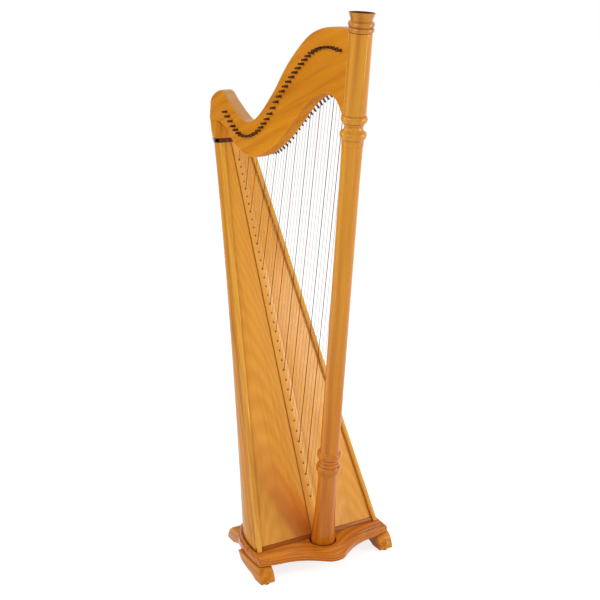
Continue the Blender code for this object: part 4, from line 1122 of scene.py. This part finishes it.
def resize(faces, radius):
    for vert in {v for face in faces for v in face.verts}:
        length = vert.co.xy.length
        vert.co.x *= radius / length
        vert.co.y *= radius / length


def square_off(faces, half):
    for vert in {v for face in faces for v in face.verts}:
        angle = math.atan2(vert.co.y, vert.co.x)
        reach = half * min(1.28, 1 / max(abs(math.cos(angle)), abs(math.sin(angle))))
        vert.co.x, vert.co.y = reach * math.cos(angle), reach * math.sin(angle)


def tuning_pins():
    """Steel pins through the neck, each with a squared, tapered head on the right."""
    length = NECK_FAR_Y - NECK_NEAR_Y + 2 * PIN_REACH
    inside = PIN_REACH + 0.004
    square = length - PIN_SQUARE
    for number in NUMBERS:
        bm = bmesh.new()
        bmesh.ops.create_circle(bm, cap_ends=True, segments=16, radius=PIN_RADIUS)
        cap = bm.faces[:]
        resize(cap, PIN_RADIUS - 0.0004)
        for rise, radius in ((0.0006, PIN_RADIUS), (inside, PIN_RADIUS), (inside + 0.001, PIN_HEAD_RADIUS),
                             (square - 0.0010, PIN_HEAD_RADIUS), (square, PIN_HEAD_RADIUS - 0.0002)):
            cap = extrude_to(bm, cap, rise)
            resize(cap, radius)
        for rise, half in ((square + 0.0012, PIN_HEAD_HALF), (length - 0.0008, PIN_HEAD_HALF - 0.0004),
                           (length, PIN_HEAD_HALF - 0.0009)):
            cap = extrude_to(bm, cap, rise)
            square_off(cap, half)
        bmesh.ops.recalc_face_normals(bm, faces=bm.faces)
        tip = tuning_pin(number) + Vector((0, NECK_FAR_Y + PIN_REACH, 0))
        finish_piece(f"tuning_pin_{number:02d}", stand(bm, tip, (0, -1, 0)), PIN_METAL)


def bridge_pins():
    """Short steel pins with a rim on the neck's far face, which the strings bear on."""
    whole = bmesh.new()
    profile = [(-0.004, BRIDGE_RADIUS), (BRIDGE_REACH - 0.0009, BRIDGE_RADIUS),
               (BRIDGE_REACH - 0.0003, BRIDGE_RADIUS - 0.0001), (BRIDGE_REACH, BRIDGE_RADIUS - 0.0005)]
    for number in NUMBERS:
        end, along = string_line(number)[1:]
        drop = mix(*BRIDGE_DROP, string_share(number))
        aside = Vector((along.z, 0, -along.x)) * (BRIDGE_RADIUS + string_radius(number) + GAP)
        foot = end - along * drop + aside + Vector((0, NECK_FAR_Y, 0))
        add_to(whole, stand(turned(profile, 16), foot, (0, 1, 0)))
    finish_piece("bridge_pins", whole, BRACKET_METAL)


def eyelets():
    """A small bronze ring in the centre strip round every string, with a painted shadow disc inside."""
    rings, hollows = bmesh.new(), bmesh.new()
    for number in NUMBERS:
        hole = string_radius(number) + EYELET_CLEARANCE
        outer = hole + EYELET_RIM
        foot = eyelet(number) + BOARD_OUT * (STRIP_FACE - 0.0002)
        bm = bmesh.new()
        closed_chain(bm, [(radius, 0, height) for radius, height in
                          ((hole, 0), (outer, 0), (outer, 0.0004), (outer - 0.0003, 0.0007),
                           (hole + 0.0003, 0.0007), (hole, 0.0004))])
        add_to(rings, stand(spun(bm, 18, 0.000001), foot, BOARD_OUT))
        # Painted shadow: a near-black disc inside each ring
        add_to(hollows, stand(rod(0.0, 0.0003, hole, 18), foot, BOARD_OUT))
    finish_piece("string_eyelets", rings, EYELET_METAL)
    finish_piece("eyelet_hole_shadows", hollows, HOLE_SHADOW)


# Levers

def lever_places():
    """Hinge point and lean of every lever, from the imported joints, in the harp's own axes."""
    places = {}
    for joint in frame["joints"]:
        axis = Vector(joint["axis"])
        places[joint["child"]] = (Vector(joint["pos_m"]) - SHIFT, math.atan2(-axis.z, axis.x))
    return places


def seat_on_hinge(bm, pivot, lean):
    turn = Matrix.Rotation(lean, 4, "Y")
    bmesh.ops.transform(bm, matrix=Matrix.Translation(pivot) @ turn, verts=bm.verts)
    return bm


def lever_outline():
    """Side view of a lever: hub, then a handle out and down with a rounded tip."""
    way = Vector((math.sin(HANDLE_ANGLE), -math.cos(HANDLE_ANGLE)))
    side = Vector((math.cos(HANDLE_ANGLE), math.sin(HANDLE_ANGLE))) * (HANDLE_THICKNESS / 2)
    elbow = Vector((HANDLE_REACH, 0))
    half = way * (HANDLE_THICKNESS / 2)
    tip = elbow + way * HANDLE_LENGTH - half
    outline = [elbow - side]
    for i in range(9):
        turn = math.pi * i / 8
        outline.append(tip - side * math.cos(turn) + half * math.sin(turn))
    outline.append(elbow + side)
    for i in range(17):
        angle = HUB_MOUTH + (2 * math.pi - 2 * HUB_MOUTH) * i / 16
        outline.append(Vector((math.cos(angle), math.sin(angle))) * LEVER_HUB_RADIUS)
    return outline


def levers(places):
    """A moulded lever on each hinge, bored for the hinge pin."""
    for number in NUMBERS:
        bm = skin([[Vector((across, p.x, p.y)) for p in lever_outline()]
                   for across in (-LEVER_HALF_WIDTH, LEVER_HALF_WIDTH)])
        soften(bm, rim_edges(bm, 0), LEVER_EDGE, 2)
        bore = rod(-0.01, 0.01, LEVER_PIN_RADIUS + GAP, 24)
        bm = cut(bm, stand(bore, NO_PLACE, (1, 0, 0)))
        name = f"lever_{number:02d}"
        slot, finish = {2: ("lever_red", LEVER_RED), 5: ("lever_black", LEVER_BLACK)}.get(
            (number - 1) % 7, ("lever_grey", LEVER_GREY))
        finish_piece("flip_" + name, seat_on_hinge(bm, *places[name]), finish, body=name,
                     stands_for=[name], smooth=35)


def bracket():
    """A lever's bracket about its hinge: a rounded foot plate, two ears and the hinge pin."""
    floor = NECK_FAR_Y - LEVER_PIVOT_REACH
    outer = EAR_INNER + EAR_THICKNESS
    whole = bmesh.new()
    plate = bmesh.new()
    bmesh.ops.create_cube(plate, size=1)
    bmesh.ops.scale(plate, vec=(2 * outer, 0.004, BRACKET_UP + BRACKET_DOWN), verts=plate.verts)
    bmesh.ops.translate(plate, vec=(0, floor, (BRACKET_UP - BRACKET_DOWN) / 2), verts=plate.verts)
    corners = [e for e in plate.edges if abs(e.verts[0].co.y - e.verts[1].co.y) > 0.001]
    add_to(whole, soften(plate, corners, BRACKET_EDGE))
    outline = [(floor, -0.0038), (0.0, -0.0036)]
    for i in range(13):
        angle = -math.pi / 2 + math.pi * i / 12
        outline.append((EAR_RADIUS * math.cos(angle), EAR_RADIUS * math.sin(angle)))
    outline += [(0.0, 0.0036), (floor, 0.0038)]
    for side in (-1, 1):
        add_to(whole, skin([[(side * reach, y, z) for y, z in outline] for reach in (EAR_INNER, outer)]))
        head = turned([(0.0, 0.0019), (0.0003, 0.0019), (0.0006, 0.0015)], 20)
        add_to(whole, stand(head, Vector((side * (outer - 0.0004), 0, 0)), (side, 0, 0)))
    pin = rod(-outer + 0.0005, outer - 0.0005, LEVER_PIN_RADIUS, 20)
    add_to(whole, stand(pin, NO_PLACE, (1, 0, 0)))
    return whole


def lever_brackets(places):
    for number in NUMBERS:
        bm = seat_on_hinge(bracket(), *places[f"lever_{number:02d}"])
        finish_piece(f"lever_bracket_{number:02d}", bm, BRACKET_METAL)


def hidden_brace():
    """The brace inside the shell keeps its solid and gets the trim's wood."""
    brace = frame["nodes"]["shell_brace"]
    brace.data.materials.clear()
    brace.data.materials.append(TRIM_WOOD)


# Studio

def staged_sheet(name, half, material, place):
    """A flat sheet that isn't part of the harp."""
    bm = bmesh.new()
    bmesh.ops.create_grid(bm, x_segments=1, y_segments=1, size=half)
    bmesh.ops.transform(bm, matrix=place, verts=bm.verts)
    sheet = add_object(name, to_mesh(bm, name))
    sheet.data.materials.append(material)
    return sheet


def floor_white():
    """White where the camera or a reflection sees it, under the harp's shadow."""
    made, n, _ = new_material("floor white")
    n.tree.nodes.clear()
    seen = n.add("ShaderNodeLightPath").outputs
    plain = n.add("ShaderNodeBsdfDiffuse", Color=(0.80, 0.80, 0.80, 1))
    shaded = n.add("ShaderNodeBsdfDiffuse", Color=(0.42, 0.42, 0.42, 1))
    glow = n.add("ShaderNodeEmission", Color=WHITE, Strength=0.80)
    lit = n.add("ShaderNodeAddShader", shaded.outputs[0], glow.outputs[0])
    direct = n.math("MAXIMUM", seen["Is Camera Ray"], seen["Is Glossy Ray"])
    chosen = n.add("ShaderNodeMixShader", direct, plain.outputs[0], lit.outputs[0])
    n.add("ShaderNodeOutputMaterial", chosen.outputs[0])
    return made


def studio_world():
    """White where the camera or a reflection sees it, and a soft fill elsewhere."""
    world = bpy.data.worlds.new("studio")
    bpy.context.scene.world = world
    world.use_nodes = True
    n = Nodes(world.node_tree)
    path = n.add("ShaderNodeLightPath").outputs
    direct = n.math("MAXIMUM", path["Is Camera Ray"], path["Is Transmission Ray"])
    seen = n.math("MAXIMUM", direct, path["Is Glossy Ray"])
    n.feed(n.tree.nodes["Background"], Color=WHITE, Strength=n.math("MULTIPLY_ADD", seen, 0.42, 0.58))


def studio_lights():
    for name, (place, aim, size, power) in LAMPS.items():
        data = bpy.data.lights.new(name, "AREA")
        data.shape = "RECTANGLE"
        data.size, data.size_y = size
        data.energy = power
        light = add_object(name, data)
        light.location = Vector(place) + SHIFT
        light.rotation_euler = (Vector(aim) - Vector(place)).to_track_quat("-Z", "Y").to_euler()


def dark_card():
    """A black card beyond the left, seen in gloss alone, so that the neck's face keeps its depth."""
    cloth, n, shader = new_material("black cloth")
    n.feed(shader, Base_Color=(0.01, 0.01, 0.01, 1), Roughness=0.9)
    turn = UPRIGHT.rotation_difference(CARD_FACING).to_matrix().to_4x4()
    card = staged_sheet("dark_card", 0.9, cloth, Matrix.Translation(CARD_PLACE + SHIFT) @ turn)
    card.visible_camera = False
    card.visible_diffuse = False
    card.visible_shadow = False
    card.visible_transmission = False


def camera():
    data = bpy.data.cameras.new("camera")
    data.lens = CAMERA_LENS
    data.sensor_width = CAMERA_SENSOR
    made = add_object("camera", data)
    back = CAMERA_RIGHT.cross(CAMERA_UP)
    turn = Matrix((CAMERA_RIGHT, CAMERA_UP, back)).transposed().to_4x4()
    made.matrix_world = Matrix.Translation(CAMERA_PLACE + SHIFT) @ turn
    bpy.context.scene.camera = made


def main():
    base_board()
    feet()
    batten()
    pillar()
    pillar_cap()
    soundbox_shell()
    seat_shadow()
    hidden_brace()
    soundboard()
    center_strip()
    edge_trim("left", 1)
    edge_trim("right", -1)
    shoulder_block()
    collar_band()
    neck_board()
    tuning_pins()
    bridge_pins()
    eyelets()
    for number in NUMBERS:
        string_piece(number)
    places = lever_places()
    lever_brackets(places)
    levers(places)
    staged_sheet("floor", 8, floor_white(), Matrix())
    studio_world()
    studio_lights()
    dark_card()
    camera()
    bpy.context.scene.view_settings.view_transform = "Standard"


main()
